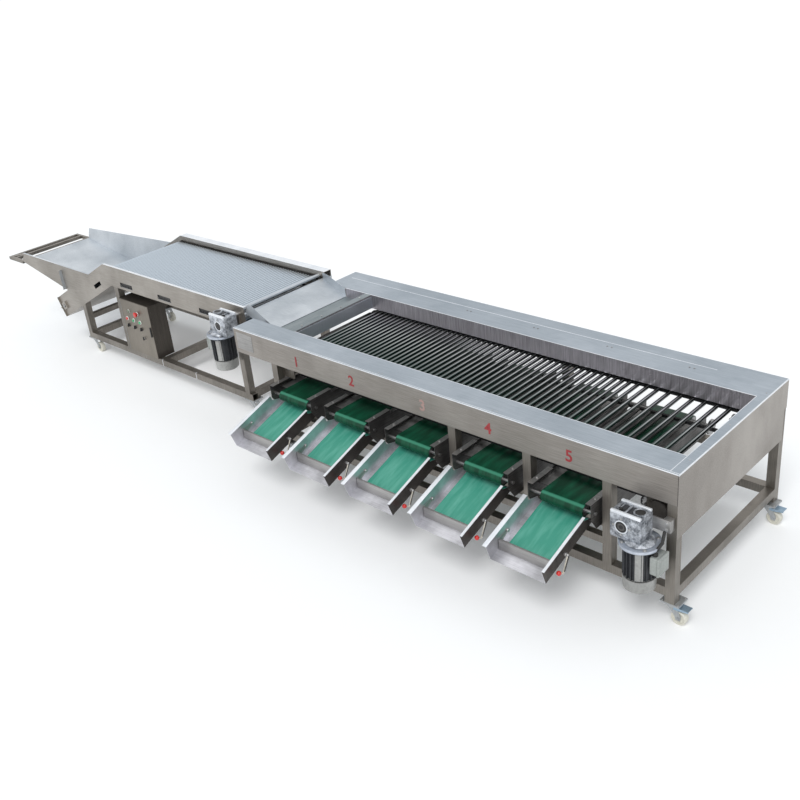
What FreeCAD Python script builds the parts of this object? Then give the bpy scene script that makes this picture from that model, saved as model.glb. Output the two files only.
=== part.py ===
import FreeCAD, Part
import math
import os

V = FreeCAD.Vector

# Fruit grading machine: an infeed elevator with a hopper feeds a roller sizer
# with five outlets. While building, x = 0 is the sizer's left end, y = 0 its
# front face and z = 0 the floor. The saved pieces are centred over the floor.

# Stock and clearances, in millimetres
sheet = 2.0
plate = 3.0
tube = 50.0
small_tube = 40.0
tube_wall = 3.0
gap = 0.3
running = 0.05
bolt_r = 6.0
bolt_head = 5.0

# Sizer body
sizer_length = 3100.0
sizer_width = 1100.0
work_height = 850.0
fascia_height = 164.0
fascia_fold = 12.0
end_panel_height = 344.0
end_panel_step = 25.0
trough_front = 165.0
trough_rear = 848.0
rear_seam = 1005.0
right_strip = 50.0
trough_depth = 98.0
entry_depth = 62.0
entry_end = 400.0
feed_bar_width = 55.0
flap_height = 78.0
flap_drop = 12.0
flap_thick = 3.0

# Sizer frame
leg_x = (354.0, 1781.0, 2268.0, 2733.0)
rear_leg_x = (354.0, 1781.0)
bottom_rail_z = 166.0
middle_rail_z = 320.0
belt_rail_z = 385.0
bearing_plate = 6.0
bearing_plate_width = 110.0
bearing_plate_bottom = 590.0
bearing_size = 76.0
bearing_depth = 28.0

# Grading rollers: the pitch grows from the infeed end to the far end
roller_r = 11.0
roller_drop = 121.0
roller_sides = 6
return_sides = 4
first_roller = 434.0
first_pitch = 36.0
pitch_step = 0.155
even_gaps = 48
wide_step = 6.0
pitch_limit = 68.0
chain_overhang = 12.0
chain_width = 16.0
chain_half = 8.0
band_steps = 6
sprocket_r = 75.0
head_x = 2968.0
tail_x = 420.0
main_shaft_r = 17.5
sprocket_width = 12.0
sprocket_teeth = 12
tooth_depth = 5.0

# Drive chain from the gearbox to the head shaft, and its round guard
output_teeth_r = 34.0
output_teeth = 10
driven_teeth_r = 44.0
driven_teeth = 13
drive_wrap = 192.0
drive_chain_thick = 6.0
drive_chain_y = 98.0
drive_chain_width = 14.0
guard_r = 49.0
guard_x = 2983.0
guard_z = 607.0
guard_y = (30.0, 44.0)
guard_pin_r = 8.0

# Outlets: cross belt, side plates, tray and gate, repeated at one pitch
outlet_count = 5
outlet_first = 564.0
outlet_pitch = 487.0
outlet_half = 184.0
outlet_front = -76.0
outlet_rear = 1040.0
outlet_top = 580.0
outlet_inner_top = 560.0
outlet_bottom = 425.0
outlet_flange = 32.0
outlet_flange_end = 100.0
belt_width = 245.0
belt_offset = 10.0
belt_thick = 3.0
drum_r = 30.0
drum_y = -40.0
line_shaft_y = 990.0
drum_z = 515.0
drum_shaft_r = 10.0
line_shaft_r = 12.5
bed_front = 0.0
bed_rear = 950.0
tray_left = 177.0
tray_right = 148.0
tray_angle = 18.4
tray_front_y = -400.0
tray_front_z = 312.0
tray_length = 420.0
tray_wall = 93.0
tray_fold = 14.0
tray_top_end = 356.0
tray_mount_s = 395.0
tray_mount_h = 22.0
mat_thick = 3.0
mat_strip = 30.0
mat_margin = 8.0
gate_pivot_y = -262.0
gate_pivot_z = 405.0
gate_y = -337.0
gate_height = 58.0
gate_side_play = 1.5
gate_shaft_r = 5.0
lever_out = 29.0
lever_r = 4.0
lever_knee_y = -301.0
lever_knee_z = 324.0
ball_y = -336.0
ball_z = 346.0
ball_r = 12.5
# Infeed elevator
infeed_front = 250.0
infeed_rear = 1050.0
deck_right = -202.0
knee_x = -1903.0
incline = 27.5
incline_length = 960.0
band_width = 174.0
side_height = 165.0
front_flange = 20.0
rear_channel = 65.0
rear_wall_drop = 36.0
deck_drop = 49.0
deck_roller_r = 10.0
deck_pitch = 27.2
deck_sides = 6
deck_return_every = 3
deck_sprocket_r = 42.0
deck_teeth = 12
deck_tooth_depth = 4.0
deck_head_x = -290.0
deck_tail_length = 880.0
deck_chain_half = 7.0
deck_chain_width = 12.0
deck_shaft_r = 15.0
deck_block = 14.0
take_up_r = 5.0
slot_length = 160.0
slot_height = 36.0
slot_z = 704.0
slot_x = (-1624.0, -1136.0, -638.0)
incline_slot_length = 120.0
incline_slot_height = 32.0

# Infeed frame
infeed_leg_x = (-2352.0, -1782.0, -325.0)
infeed_rail_z = 130.0
infeed_middle_rail_x = -1345.0
infeed_side_rail_z = 290.0

# Hopper at the infeed's low end
hopper_left = -3240.0
hopper_left_z = 640.0
hopper_lip_x = -3165.0
hopper_lip = 12.0
hopper_top = 726.0
hopper_floor_x = -2560.0
hopper_rear_y = 931.0
hopper_flare = 0.3
hopper_taper = 0.12
hopper_tip_x = -3475.0
hopper_bar_x = -3400.0
hopper_frame = 25.0

# Discharge bars and chute between the two units
bar_r = 12.0
bar_x = (-262.0, -222.0)
bar_z = (817.0, 790.0)
chute_left = -195.0
chute_right = 155.0
chute_front_y = (262.0, 172.0)
chute_rear_y = (965.0, 844.0)
chute_z = 802.0
chute_end_z = 789.0
chute_peak_x = -125.0
chute_peak_z = 893.0
chute_rear_top = 862.0
ledge_left = -209.0
ledge_thick = 6.0

# Worm gearmotor
gear_width_left = 65.0
gear_width_right = 96.0
gear_up = 65.0
gear_down = 72.0
gear_depth = 120.0
gear_corner = 22.0
gear_offset = 63.0
gear_bore_r = 12.5
cover_r = 50.0
cover_lip = 4.0
face_bolt_circle = 84.0
face_bolt_r = 3.4
face_bolt_depth = 14.0
worm_r = 34.0
plug_r = 9.0
flange_r = 100.0
flange_thick = 14.0
motor_r = 68.0
fin_height = 12.0
fin_count = 12
motor_length = 175.0
cowl_r = 80.0
cowl_length = 60.0
cowl_chamfer = 12.0
terminal_width = 90.0
terminal_depth = 45.0
terminal_height = 95.0
terminal_drop = 25.0
sizer_gear_x = 2900.0
sizer_gear_front = -144.0
sizer_gear_z = 581.0
bracket_thick = 8.0
bracket_z = (555.0, 620.0)
infeed_gear_front = 89.0
standoff = 46.0
standoff_r = 7.0

# Control box
box_right = -1380.0
box_top = 606.0
box_depth = 130.0
door_front = 240.0
door_depth = 20.0
button_r = 11.0
button_height = 8.0
button_travel = 5.0
bezel_r = 15.0
bezel_height = 4.0
button_z = 452.0
knob_z = 396.0
control_x = (-1692.0, -1607.0, -1523.0)
knob_r = 14.0
knob_height = 16.0
knob_stem_r = 4.0
lamp_x = -1655.0
stop_x = -1541.0
lamp_z = 518.0
stop_r = 20.0
stop_travel = 6.0
latch_x = -1508.0
latch_z = 326.0
latch_r = 12.0
gland_r = 8.0
gland_length = 24.0
gland_x = -1480.0
gland_y = 345.0

# Casters
caster_height = 130.0
adapter = 6.0
caster_plate = 4.0
caster_plate_x = 100.0
caster_plate_y = 85.0
wheel_r = 40.0
wheel_width = 32.0
wheel_chamfer = 3.0
wheel_side_play = 1.0
trail = 35.0
axle_r = 6.0
crown_r = 32.0
crown_depth = 16.0
king_r = 8.0
fork_plate = 3.0
pedal_reach = 88.0
pedal_pin_r = 4.0
pedal_pin_x = 20.0
pedal_pin_z = 94.0


def box(x0, x1, y0, y1, z0, z1):
    return Part.makeBox(x1 - x0, y1 - y0, z1 - z0, V(x0, y0, z0))


def side_count(radius):
    # Flat sides that stand in for a round face
    if radius < 7:
        return 6
    if radius < 20:
        return 8
    return 12 if radius < 60 else 16


def hole_r(radius):
    # A many-sided hole that leaves the running clearance all round
    return (radius + running) / math.cos(math.pi / side_count(radius))


def ring_points(sides, radius, x, z, turn=0.5):
    step = 2 * math.pi / sides
    angles = [(k + turn) * step for k in range(sides)]
    return [(x + radius * math.cos(a), z + radius * math.sin(a)) for a in angles]


def arc_points(x, z, radius, start, end, steps):
    angles = [math.radians(start + (end - start) * k / steps) for k in range(steps + 1)]
    return [(x + radius * math.cos(a), z + radius * math.sin(a)) for a in angles]


def rod_x(radius, x0, x1, y, z):
    return plate_x(ring_points(side_count(radius), radius, y, z), x0, x1)


def rod_y(radius, y0, y1, x, z):
    return plate_y(ring_points(side_count(radius), radius, x, z), y0, y1)


def rod_z(radius, z0, z1, x, y):
    return plate_z(ring_points(side_count(radius), radius, x, y), z0, z1)


def hole_x(radius, x0, x1, y, z):
    return plate_x(ring_points(side_count(radius), hole_r(radius), y, z, 0), x0 - 1, x1 + 1)


def hole_y(radius, y0, y1, x, z):
    return plate_y(ring_points(side_count(radius), hole_r(radius), x, z, 0), y0 - 1, y1 + 1)


def hole_z(radius, z0, z1, x, y):
    return plate_z(ring_points(side_count(radius), hole_r(radius), x, y, 0), z0 - 1, z1 + 1)


def pin_y(radius, y0, y1, x, z):
    return Part.makeCylinder(radius, y1 - y0, V(x, y0, z), V(0, 1, 0))


def pin_z(radius, z0, z1, x, y):
    return Part.makeCylinder(radius, z1 - z0, V(x, y, z0), V(0, 0, 1))


def slab(corners, way):
    # A flat closed outline, pushed along one direction
    wire = Part.makePolygon(corners + [corners[0]])
    return Part.Face(wire).extrude(way)


def plate_y(points, y0, y1):
    return slab([V(x, y0, z) for x, z in points], V(0, y1 - y0, 0))


def plate_x(points, x0, x1):
    return slab([V(x0, y, z) for y, z in points], V(x1 - x0, 0, 0))


def plate_z(points, z0, z1):
    return slab([V(x, y, z0) for x, y in points], V(0, 0, z1 - z0))


def tube_x(x0, x1, y, z, size=tube):
    w = tube_wall
    inner = box(x0 - 1, x1 + 1, y + w, y + size - w, z + w, z + size - w)
    return box(x0, x1, y, y + size, z, z + size).cut(inner)


def tube_y(y0, y1, x, z, size=tube):
    w = tube_wall
    inner = box(x + w, x + size - w, y0 - 1, y1 + 1, z + w, z + size - w)
    return box(x, x + size, y0, y1, z, z + size).cut(inner)


def tube_z(z0, z1, x, y, size=tube):
    w = tube_wall
    inner = box(x + w, x + size - w, y + w, y + size - w, z0 - 1, z1 + 1)
    return box(x, x + size, y, y + size, z0, z1).cut(inner)


def flat(corners):
    return Part.Face(Part.makePolygon(corners + [corners[0]]))


def turned(rings):
    # A closed solid from rings of points, each joined to the next by flats
    faces = [flat(rings[0]), flat(rings[-1])]
    for low, high in zip(rings[:-1], rings[1:]):
        for k in range(len(low)):
            n = (k + 1) % len(low)
            faces.append(flat([low[k], low[n], high[n], high[k]]))
    shell = Part.makeShell(faces)
    shell.sewShape()
    solid = Part.makeSolid(shell)
    if solid.Volume < 0:
        solid.reverse()
    return solid


def turned_y(profile, x, z, sides):
    return turned([[V(px, y, pz) for px, pz in ring_points(sides, r, x, z)] for y, r in profile])


def turned_z(profile, x, y, sides):
    return turned([[V(px, py, z) for px, py in ring_points(sides, r, x, y)] for z, r in profile])


def ball(radius, x, y, z):
    profile = []
    for angle in (-67.5, -22.5, 22.5, 67.5):
        a = math.radians(angle)
        profile.append((y + radius * math.sin(a), radius * math.cos(a)))
    return turned_y(profile, x, z, 8)


def bar_y(sides, radius, y0, y1, x, z):
    # A roller bar with few faces
    return plate_y(ring_points(sides, radius, x, z), y0, y1)


def stadium(u0, u1, v, radius):
    # Straight sides and round ends between two centres
    right = arc_points(u1, v, radius, 90, -90, band_steps)
    left = arc_points(u0, v, radius, 270, 90, band_steps)
    return right + left


def bands(outer, inner, breaks):
    # Outlines of a closed band's lengths: its round ends and its straight runs
    count = len(outer)
    outlines = []
    for start, end in zip(breaks, breaks[1:] + (count,)):
        run = [k % count for k in range(start, end + 1)]
        outlines.append([outer[k] for k in run] + [inner[k] for k in run[::-1]])
    return outlines


loop_breaks = (0, band_steps, band_steps + 1, 2 * band_steps + 1)
bent_breaks = (0, band_steps, band_steps + 1, band_steps + 2, 2 * band_steps + 2, 2 * band_steps + 3)


def outside(radius, span=180):
    # Radius of a band's inner corners that clears a wheel of the given radius
    return (radius + gap) / math.cos(math.radians(span / band_steps / 2))


def bent_loop(head, knee, tail, offset):
    # A chain path's outline at one distance from its centre line: level from
    # the head to the knee, then down the incline to the tail
    angle = math.radians(incline)
    bend = offset * math.tan(angle / 2)
    points = arc_points(head.x, head.z, offset, 90, -90, band_steps)
    points.append((knee.x + bend, knee.z - offset))
    points += arc_points(tail.x, tail.z, offset, incline + 270, incline + 90, band_steps)
    points.append((knee.x - bend, knee.z + offset))
    return points


def toothed_wheel(radius, depth, teeth, y0, y1, x, z):
    # A chain wheel: pointed teeth between an outer and a root circle
    points = []
    for k in range(2 * teeth):
        r = radius if k % 2 == 0 else radius - depth
        a = math.pi * (k + 1) / teeth
        points.append((x + r * math.cos(a), z + r * math.sin(a)))
    return plate_y(points, y0, y1)


def apart(shapes):
    # Each shape gives way to those before it, so that they seat on one another
    kept = []
    for shape in shapes:
        for other in kept:
            shape = shape.cut(other)
        kept.append(shape)
    return kept


def fused(shapes):
    body = shapes[0]
    for shape in shapes[1:]:
        body = body.fuse(shape)
    return body.removeSplitter()


parts = {}


def add(name, shapes):
    group = parts.setdefault(name, [])
    for shape in shapes:
        group.extend(shape.Solids)


# Levels and lines that several pieces share
fascia_bottom = work_height - fascia_height
cover_bottom = work_height - sheet
roller_z = work_height - roller_drop
shaft_z = roller_z - sprocket_r
trough_bottom = work_height - trough_depth
entry_z = work_height - entry_depth
panel_x = sizer_length - sheet
leg_front = sheet
leg_rear = sizer_width - sheet - tube
right_leg = panel_x - tube
trough_right = sizer_length - right_strip
leg_bottom = caster_height
outlet_x = [outlet_first + k * outlet_pitch for k in range(outlet_count)]


def sizer_frame():
    members = []
    top = cover_bottom - tube
    first = leg_x[0]
    last = leg_x[-1]
    for x in leg_x:
        low = leg_bottom if x == first else bottom_rail_z + tube
        members.append(tube_z(low, top, x - tube / 2, leg_front))
    for x in rear_leg_x:
        low = leg_bottom if x == first else bottom_rail_z + tube
        members.append(tube_z(low, top, x - tube / 2, leg_rear))
    for y in (leg_front, leg_rear):
        members.append(tube_z(leg_bottom, top, right_leg, y))
        members.append(tube_x(0, panel_x, y, top))
        members.append(tube_x(first + tube / 2, right_leg, y, bottom_rail_z))
        members.append(tube_z(fascia_bottom, top, 0, y))
    inner = leg_front + tube
    members.append(tube_y(inner, leg_rear, first - tube / 2, bottom_rail_z))
    members.append(tube_y(inner, leg_rear, right_leg, bottom_rail_z))
    members.append(tube_y(inner, leg_rear, 0, entry_z - sheet - tube))
    for left, right in zip(leg_x[:-1], leg_x[1:]):
        members.append(tube_x(left + tube / 2, right - tube / 2, leg_front + 5,
                              middle_rail_z, small_tube))
    for y in (inner, leg_rear - small_tube):
        members.append(tube_x(first - tube / 2, last + tube / 2, y, belt_rail_z, small_tube))
    add("sizer_frame", members)


def bearing_blocks():
    # A plate and a bearing block inside the frame at both ends of both shafts
    half = bearing_size / 2
    reach = bearing_plate_width / 2
    for x, left, right in ((tail_x, leg_x[0] - tube / 2, tail_x + reach),
                           (head_x, head_x - reach, panel_x)):
        for face, way in ((leg_front + tube, 1), (leg_rear, -1)):
            near = face + way * bearing_plate
            far = near + way * bearing_depth
            low, high = sorted((face, near))
            web = box(left, right, low, high, bearing_plate_bottom, cover_bottom - tube)
            add("sizer_frame", [web.cut(hole_y(main_shaft_r, low, high, x, shaft_z))])
            low, high = sorted((near, far))
            block = box(x - half, x + half, low, high, shaft_z - half, shaft_z + half)
            add("sizer_frame", [block.cut(hole_y(main_shaft_r, low, high, x, shaft_z))])


def drive_guard():
    disc = rod_y(guard_r, guard_y[0], guard_y[1], guard_x, guard_z)
    stem = rod_y(guard_pin_r, guard_y[1], leg_front + tube, guard_x, guard_z)
    add("drive_guard", [fused([disc, stem])])


def outer_panels():
    front = fused([box(0, sizer_length - sheet, 0, sheet, fascia_bottom, work_height),
                   box(0, sizer_length - sheet, sheet, fascia_fold, cover_bottom, work_height)])
    rear = sizer_width
    back = fused([box(0, sizer_length - sheet, rear - sheet, rear, fascia_bottom, work_height),
                  box(0, sizer_length - sheet, rear_seam, rear - sheet, cover_bottom, work_height)])
    low = work_height - end_panel_height
    step = rear - end_panel_step
    end = plate_x([(0, low), (step, low), (step, fascia_bottom), (rear, fascia_bottom),
                   (rear, work_height), (0, work_height)], panel_x, sizer_length)
    add("outer_panels", [front, back, end])


def cheek_rear(x):
    # The chute's rear cheek, outer face
    share = (x - chute_left) / (chute_right - chute_left)
    return chute_rear_y[0] + share * (chute_rear_y[1] - chute_rear_y[0])


def top_covers():
    inner = trough_rear - sheet
    front = box(0, trough_right, fascia_fold, trough_front + sheet, cover_bottom, work_height)
    rear = plate_z([(0, cheek_rear(0) + 1), (chute_right + sheet, inner), (trough_right, inner),
                    (trough_right, rear_seam), (0, rear_seam)], cover_bottom, work_height)
    right = box(trough_right, panel_x, fascia_fold, rear_seam, cover_bottom, work_height)
    add("top_covers", [front, rear, right])


def trough_plates():
    left = tube
    y0 = trough_front + sheet
    y1 = trough_rear - sheet
    low = trough_bottom
    high = cover_bottom
    front = box(left, trough_right, trough_front, y0, low, high)
    rear = box(chute_right + sheet, trough_right, y1, trough_rear, low, high)
    right = box(trough_right, trough_right + sheet, trough_front, trough_rear, low, high)
    entry = box(0, entry_end - plate, y0, y1, entry_z - sheet, entry_z)
    add("trough_plates", [front, rear, right, entry])
    bar = box(entry_end - feed_bar_width, entry_end, y0, y1, work_height - plate, work_height)
    lip = box(entry_end - plate, entry_end, y0, y1, work_height - 3 * flap_drop, work_height - plate)
    add("trough_plates", [fused([bar, lip])])


def feed_flap():
    x = entry_end + gap
    top = work_height - flap_drop
    curtain = box(x, x + flap_thick, trough_front + 2 * sheet, trough_rear - 2 * sheet,
                  top - flap_height, top)
    add("feed_flap", [curtain])


def roller_places():
    # Centres of the upper run, each gap wider than the one before it
    places = [first_roller]
    pitch = first_pitch
    while places[-1] + pitch < head_x - sprocket_r / 2:
        places.append(places[-1] + pitch)
        wide = len(places) > even_gaps
        pitch = min(pitch + (wide_step if wide else pitch_step), pitch_limit)
    return places


def grading_rollers():
    y0 = trough_front - chain_overhang
    y1 = trough_rear + chain_overhang
    rollers = [bar_y(roller_sides, roller_r, y0, y1, x, roller_z) for x in roller_places()]
    for centre, side in ((head_x, 1), (tail_x, -1)):
        for angle in (45, 0, -45):
            a = math.radians(angle)
            x = centre + side * sprocket_r * math.cos(a)
            z = shaft_z + sprocket_r * math.sin(a)
            rollers.append(bar_y(return_sides, roller_r, y0, y1, x, z))
    count = int((head_x - tail_x) / pitch_limit)
    for k in range(count):
        x = head_x - (k + 0.5) * pitch_limit
        rollers.append(bar_y(return_sides, roller_r, y0, y1, x, shaft_z - sprocket_r))
    add("grading_rollers", rollers)


def chain_sides():
    # The two strands, outside the trough plates
    front = trough_front - chain_overhang
    rear = trough_rear + chain_overhang
    return ((front - chain_width, front), (rear, rear + chain_width))


def roller_chains():
    outer = stadium(tail_x, head_x, shaft_z, sprocket_r + chain_half)
    inner = stadium(tail_x, head_x, shaft_z, sprocket_r - chain_half)
    for outline in bands(outer, inner, loop_breaks):
        add("roller_chains", [plate_y(outline, y0, y1) for y0, y1 in chain_sides()])
    y0 = drive_chain_y - drive_chain_width / 2
    y1 = drive_chain_y + drive_chain_width / 2
    for outline in bands(drive_chain_line(drive_chain_thick), drive_chain_line(0), loop_breaks):
        add("roller_chains", [plate_y(outline, y0, y1)])


def drive_chain_line(extra):
    # Tangent band round the gearbox wheel and the head shaft's wheel
    run = head_x - sizer_gear_x
    rise = shaft_z - sizer_gear_z
    r0 = outside(output_teeth_r, drive_wrap) + extra
    r1 = outside(driven_teeth_r, drive_wrap) + extra
    base = math.degrees(math.atan2(rise, run))
    lean = math.degrees(math.acos((r0 - r1) / math.hypot(run, rise)))
    head = arc_points(head_x, shaft_z, r1, base + lean, base - lean, band_steps)
    return head + arc_points(sizer_gear_x, sizer_gear_z, r0, base - lean, base + lean - 360, band_steps)


def main_shaft(x):
    # Shaft with one chain wheel inside each strand
    shaft = rod_y(main_shaft_r, leg_front + tube + gap, leg_rear - gap, x, shaft_z)
    half = sprocket_width / 2
    inner = (sprocket_r - chain_half) * math.cos(math.pi / band_steps / 2) - gap
    wheels = []
    for low, high in chain_sides():
        mid = (low + high) / 2
        wheels.append(toothed_wheel(inner, tooth_depth, sprocket_teeth, mid - half, mid + half,
                                    x, shaft_z))
    return [shaft] + wheels


def sizer_shafts():
    y0 = drive_chain_y - drive_chain_width / 2
    y1 = drive_chain_y + drive_chain_width / 2
    driven = toothed_wheel(driven_teeth_r, tooth_depth, driven_teeth, y0, y1, head_x, shaft_z)
    add("main_drive_shaft", apart(main_shaft(head_x) + [driven]))
    add("main_tail_shaft", apart(main_shaft(tail_x)))
    x, z = sizer_gear_x, sizer_gear_z
    stub = rod_y(gear_bore_r, sizer_gear_front + 2 * cover_lip, y1, x, z)
    wheel = toothed_wheel(output_teeth_r, tooth_depth, output_teeth, y0, y1, x, z)
    add("gearbox_output", apart([stub, wheel]))


def outlet_side(x0, x1):
    points = [(outlet_front, outlet_top), (outlet_flange_end, outlet_top),
              (outlet_flange_end, outlet_inner_top), (outlet_rear, outlet_inner_top),
              (outlet_rear, outlet_bottom), (outlet_front + 46, outlet_bottom),
              (outlet_front, outlet_bottom + 70)]
    side = plate_x(points, x0, x1)
    for y, r in ((drum_y, drum_shaft_r), (line_shaft_y, line_shaft_r)):
        side = side.cut(hole_x(r, x0, x1, y, drum_z))
    return side


def outlet_frames():
    bed_top = drum_z + drum_r
    y, z = tray_point(tray_mount_s, tray_mount_h)
    for c in outlet_x:
        left = c - outlet_half
        right = c + outlet_half
        sides = [outlet_side(left, left + plate), outlet_side(right - plate, right)]
        for x0, x1 in ((left + plate, left + outlet_flange), (right - outlet_flange, right - plate)):
            sides.append(box(x0, x1, outlet_front, outlet_flange_end, outlet_top - plate, outlet_top))
        bed = box(left + plate, right - plate, bed_front, bed_rear, bed_top - plate, bed_top)
        mounts = [rod_x(bolt_r, left + plate, c - tray_left, y, z),
                  rod_x(bolt_r, c + tray_right, right - plate, y, z)]
        add("outlet_frames", sides + [bed] + mounts)


def outlet_belts():
    line_start = outlet_x[0] - outlet_half - 20
    line_end = outlet_x[-1] + outlet_half + 60
    line = [rod_x(line_shaft_r, line_start, line_end, line_shaft_y, drum_z)]
    inner_r = outside(drum_r)
    for c in outlet_x:
        x0 = c + belt_offset - belt_width / 2
        x1 = x0 + belt_width
        outer = stadium(drum_y, line_shaft_y, drum_z, inner_r + belt_thick)
        inner = stadium(drum_y, line_shaft_y, drum_z, inner_r)
        add("outlet_belts", [plate_x(outline, x0, x1) for outline in bands(outer, inner, loop_breaks)])
        shaft = rod_x(drum_shaft_r, c - outlet_half - bolt_head, c + outlet_half + bolt_head,
                      drum_y, drum_z)
        add("outlet_drums", apart([shaft, rod_x(drum_r, x0, x1, drum_y, drum_z)]))
        line.append(rod_x(drum_r, x0, x1, line_shaft_y, drum_z))
    line.append(rod_x(driven_teeth_r, line_end - sprocket_width, line_end, line_shaft_y, drum_z))
    add("belt_line_shaft", apart(line))


def tray_point(s, h):
    # A point s up the tray's slope from its front edge and h above its floor
    a = math.radians(tray_angle)
    y = tray_front_y + s * math.cos(a) - h * math.sin(a)
    z = tray_front_z + s * math.sin(a) + h * math.cos(a)
    return y, z


def tray_slab(points, x0, x1):
    return plate_x([tray_point(s, h) for s, h in points], x0, x1)


def outlet_trays():
    for c in outlet_x:
        left = c - tray_left
        right = c + tray_right
        floor = tray_slab([(0, 0), (tray_length, 0), (tray_length, sheet), (0, sheet)], left, right)
        wall = [(0, sheet), (tray_length, sheet), (tray_length, 20), (tray_top_end, 60),
                (tray_top_end, tray_wall), (0, tray_wall)]
        fold = [(0, tray_wall - sheet), (tray_top_end, tray_wall - sheet),
                (tray_top_end, tray_wall), (0, tray_wall)]
        pieces = [floor, tray_slab(wall, left, left + sheet), tray_slab(wall, right - sheet, right),
                  tray_slab(fold, left - tray_fold / 2, left), tray_slab(fold, right, right + tray_fold)]
        hole = hole_x(gate_shaft_r, left, right, gate_pivot_y, gate_pivot_z)
        add("outlet_trays", [piece.cut(hole) for piece in pieces])
        foot = (gate_y - tray_front_y) / math.cos(math.radians(tray_angle)) + mat_margin
        end = tray_length - mat_margin
        mat = [(foot, sheet), (end, sheet), (end, sheet + mat_thick), (foot, sheet + mat_thick)]
        add("tray_mats", [tray_slab(mat, left + mat_strip, right - sheet - gap)])


def lever_rod(start, end, x):
    # A square rod between two points beside the tray
    along = V(0, end[0] - start[0], end[1] - start[1])
    side = V(0, -along.z, along.y).normalize() * lever_r
    a = V(x - lever_r, start[0], start[1])
    corners = [a - side, a + side, a + side + V(2 * lever_r, 0, 0), a - side + V(2 * lever_r, 0, 0)]
    return slab(corners, along)


def gates():
    slope = math.radians(tray_angle)
    foot = (gate_y + sheet - tray_front_y) * math.tan(slope) + tray_front_z
    foot += sheet / math.cos(slope) + 2 * gap
    near = gate_y - sheet / 2
    pivot = (gate_pivot_y, gate_pivot_z)
    knee = (lever_knee_y, lever_knee_z)
    arm = [(near, foot + 12), (near, foot + gate_height), (gate_pivot_y - 2, gate_pivot_z + 9),
           (gate_pivot_y + 10, gate_pivot_z), (gate_pivot_y - 2, gate_pivot_z - 9)]
    for k, c in enumerate(outlet_x, 1):
        left = c - tray_left + sheet + gate_side_play
        right = c + tray_right - sheet - gate_side_play
        lever_x = c + tray_right + lever_out
        shaft = rod_x(gate_shaft_r, c - tray_left - 6, lever_x + 6, gate_pivot_y, gate_pivot_z)
        blade = box(left, right, near, near + sheet, foot, foot + gate_height)
        pieces = [shaft, blade, plate_x(arm, left, left + sheet), plate_x(arm, right - sheet, right)]
        pieces += [lever_rod(pivot, knee, lever_x), lever_rod(knee, (ball_y, ball_z), lever_x)]
        knob = ball(ball_r, lever_x, ball_y, ball_z)
        add("gate_%d" % k, apart([knob] + pieces))


def gearmotor(x, front, z, side):
    # Worm gearbox with a vertical motor. side = 1 puts the motor right of the bore.
    rear = front + gear_depth
    mid = (front + rear) / 2
    left = x - (gear_width_left if side == 1 else gear_width_right)
    right = x + (gear_width_right if side == 1 else gear_width_left)
    low = z - gear_down
    high = z + gear_up
    cut = gear_corner
    case = plate_y([(left + cut, low), (right - cut / 2, low), (right, low + cut / 2),
                    (right, high - cut), (right - cut, high), (left + cut, high),
                    (left, high - cut), (left, low + cut)], front + cover_lip, rear - cover_lip)
    worm_x = x + side * gear_offset
    flange_top = low - 8
    body_top = flange_top - flange_thick
    case = fused([case, rod_y(cover_r, front, front + cover_lip, x, z),
                  rod_y(cover_r, rear - cover_lip, rear, x, z),
                  rod_z(worm_r, flange_top, high + 10, worm_x, mid)])
    case = case.cut(pin_y(gear_bore_r + running, front - 1, rear + 1, x, z))
    plug = rod_z(plug_r, high, high + 8, x - side * 25, mid - 20)
    flange = rod_z(flange_r, body_top, flange_top, worm_x, mid)
    fins = []
    for k in range(2 * fin_count):
        a = math.pi * k / fin_count
        r = motor_r + (fin_height if k % 2 else 0)
        fins.append((worm_x + r * math.cos(a), mid + r * math.sin(a)))
    cowl_top = body_top - motor_length
    body = plate_z(fins, cowl_top, body_top)
    cowl_low = cowl_top - cowl_length
    cowl = turned_z([(cowl_low, cowl_r - cowl_chamfer), (cowl_low + cowl_chamfer, cowl_r),
                     (cowl_top, cowl_r)], worm_x, mid, side_count(cowl_r))
    near = worm_x + side * (motor_r + fin_height) * math.cos(math.pi / fin_count)
    low_x, high_x = sorted((near, near + side * terminal_depth))
    half = terminal_width / 2
    top = body_top - terminal_drop
    terminal = box(low_x, high_x, mid - half, mid + half, top - terminal_height, top)
    return [case, plug, flange, body, cowl, terminal]


def gearmotors():
    solids = gearmotor(sizer_gear_x, sizer_gear_front, sizer_gear_z, 1)
    for k in range(4):
        a = math.radians(45 + 90 * k)
        x = sizer_gear_x + face_bolt_circle / 2 * math.cos(a)
        z = sizer_gear_z + face_bolt_circle / 2 * math.sin(a)
        tapped = pin_y(face_bolt_r, sizer_gear_front - 1, sizer_gear_front + face_bolt_depth, x, z)
        solids[0] = solids[0].cut(tapped)
    rear = sizer_gear_front + gear_depth - cover_lip
    right = sizer_gear_x + gear_width_right
    low, high = bracket_z
    wing = box(right, right_leg + small_tube, rear - bracket_thick, rear, low, high)
    post = box(right_leg, right_leg + small_tube, rear, leg_front, low, high)
    add("sizer_gearmotor", solids + [wing, post])
    infeed_z = deck_shaft_z()
    solids = gearmotor(deck_head_x, infeed_gear_front, infeed_z, -1)
    rear = infeed_gear_front + gear_depth - cover_lip
    for dx in (-standoff, standoff):
        for dz in (-standoff, standoff):
            solids.append(rod_y(standoff_r, rear, infeed_front, deck_head_x + dx, infeed_z + dz))
    add("infeed_gearmotor", solids)


def deck_shaft_z():
    return work_height - deck_drop - deck_sprocket_r


def deck_axes():
    # Head, knee and tail of the deck chain's centre line
    a = math.radians(incline)
    z = deck_shaft_z()
    head = V(deck_head_x, 0, z)
    knee = V(knee_x + (work_height - z) * math.tan(a / 2), 0, z)
    tail = knee + V(-math.cos(a), 0, -math.sin(a)) * deck_tail_length
    return head, knee, tail, a


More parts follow.
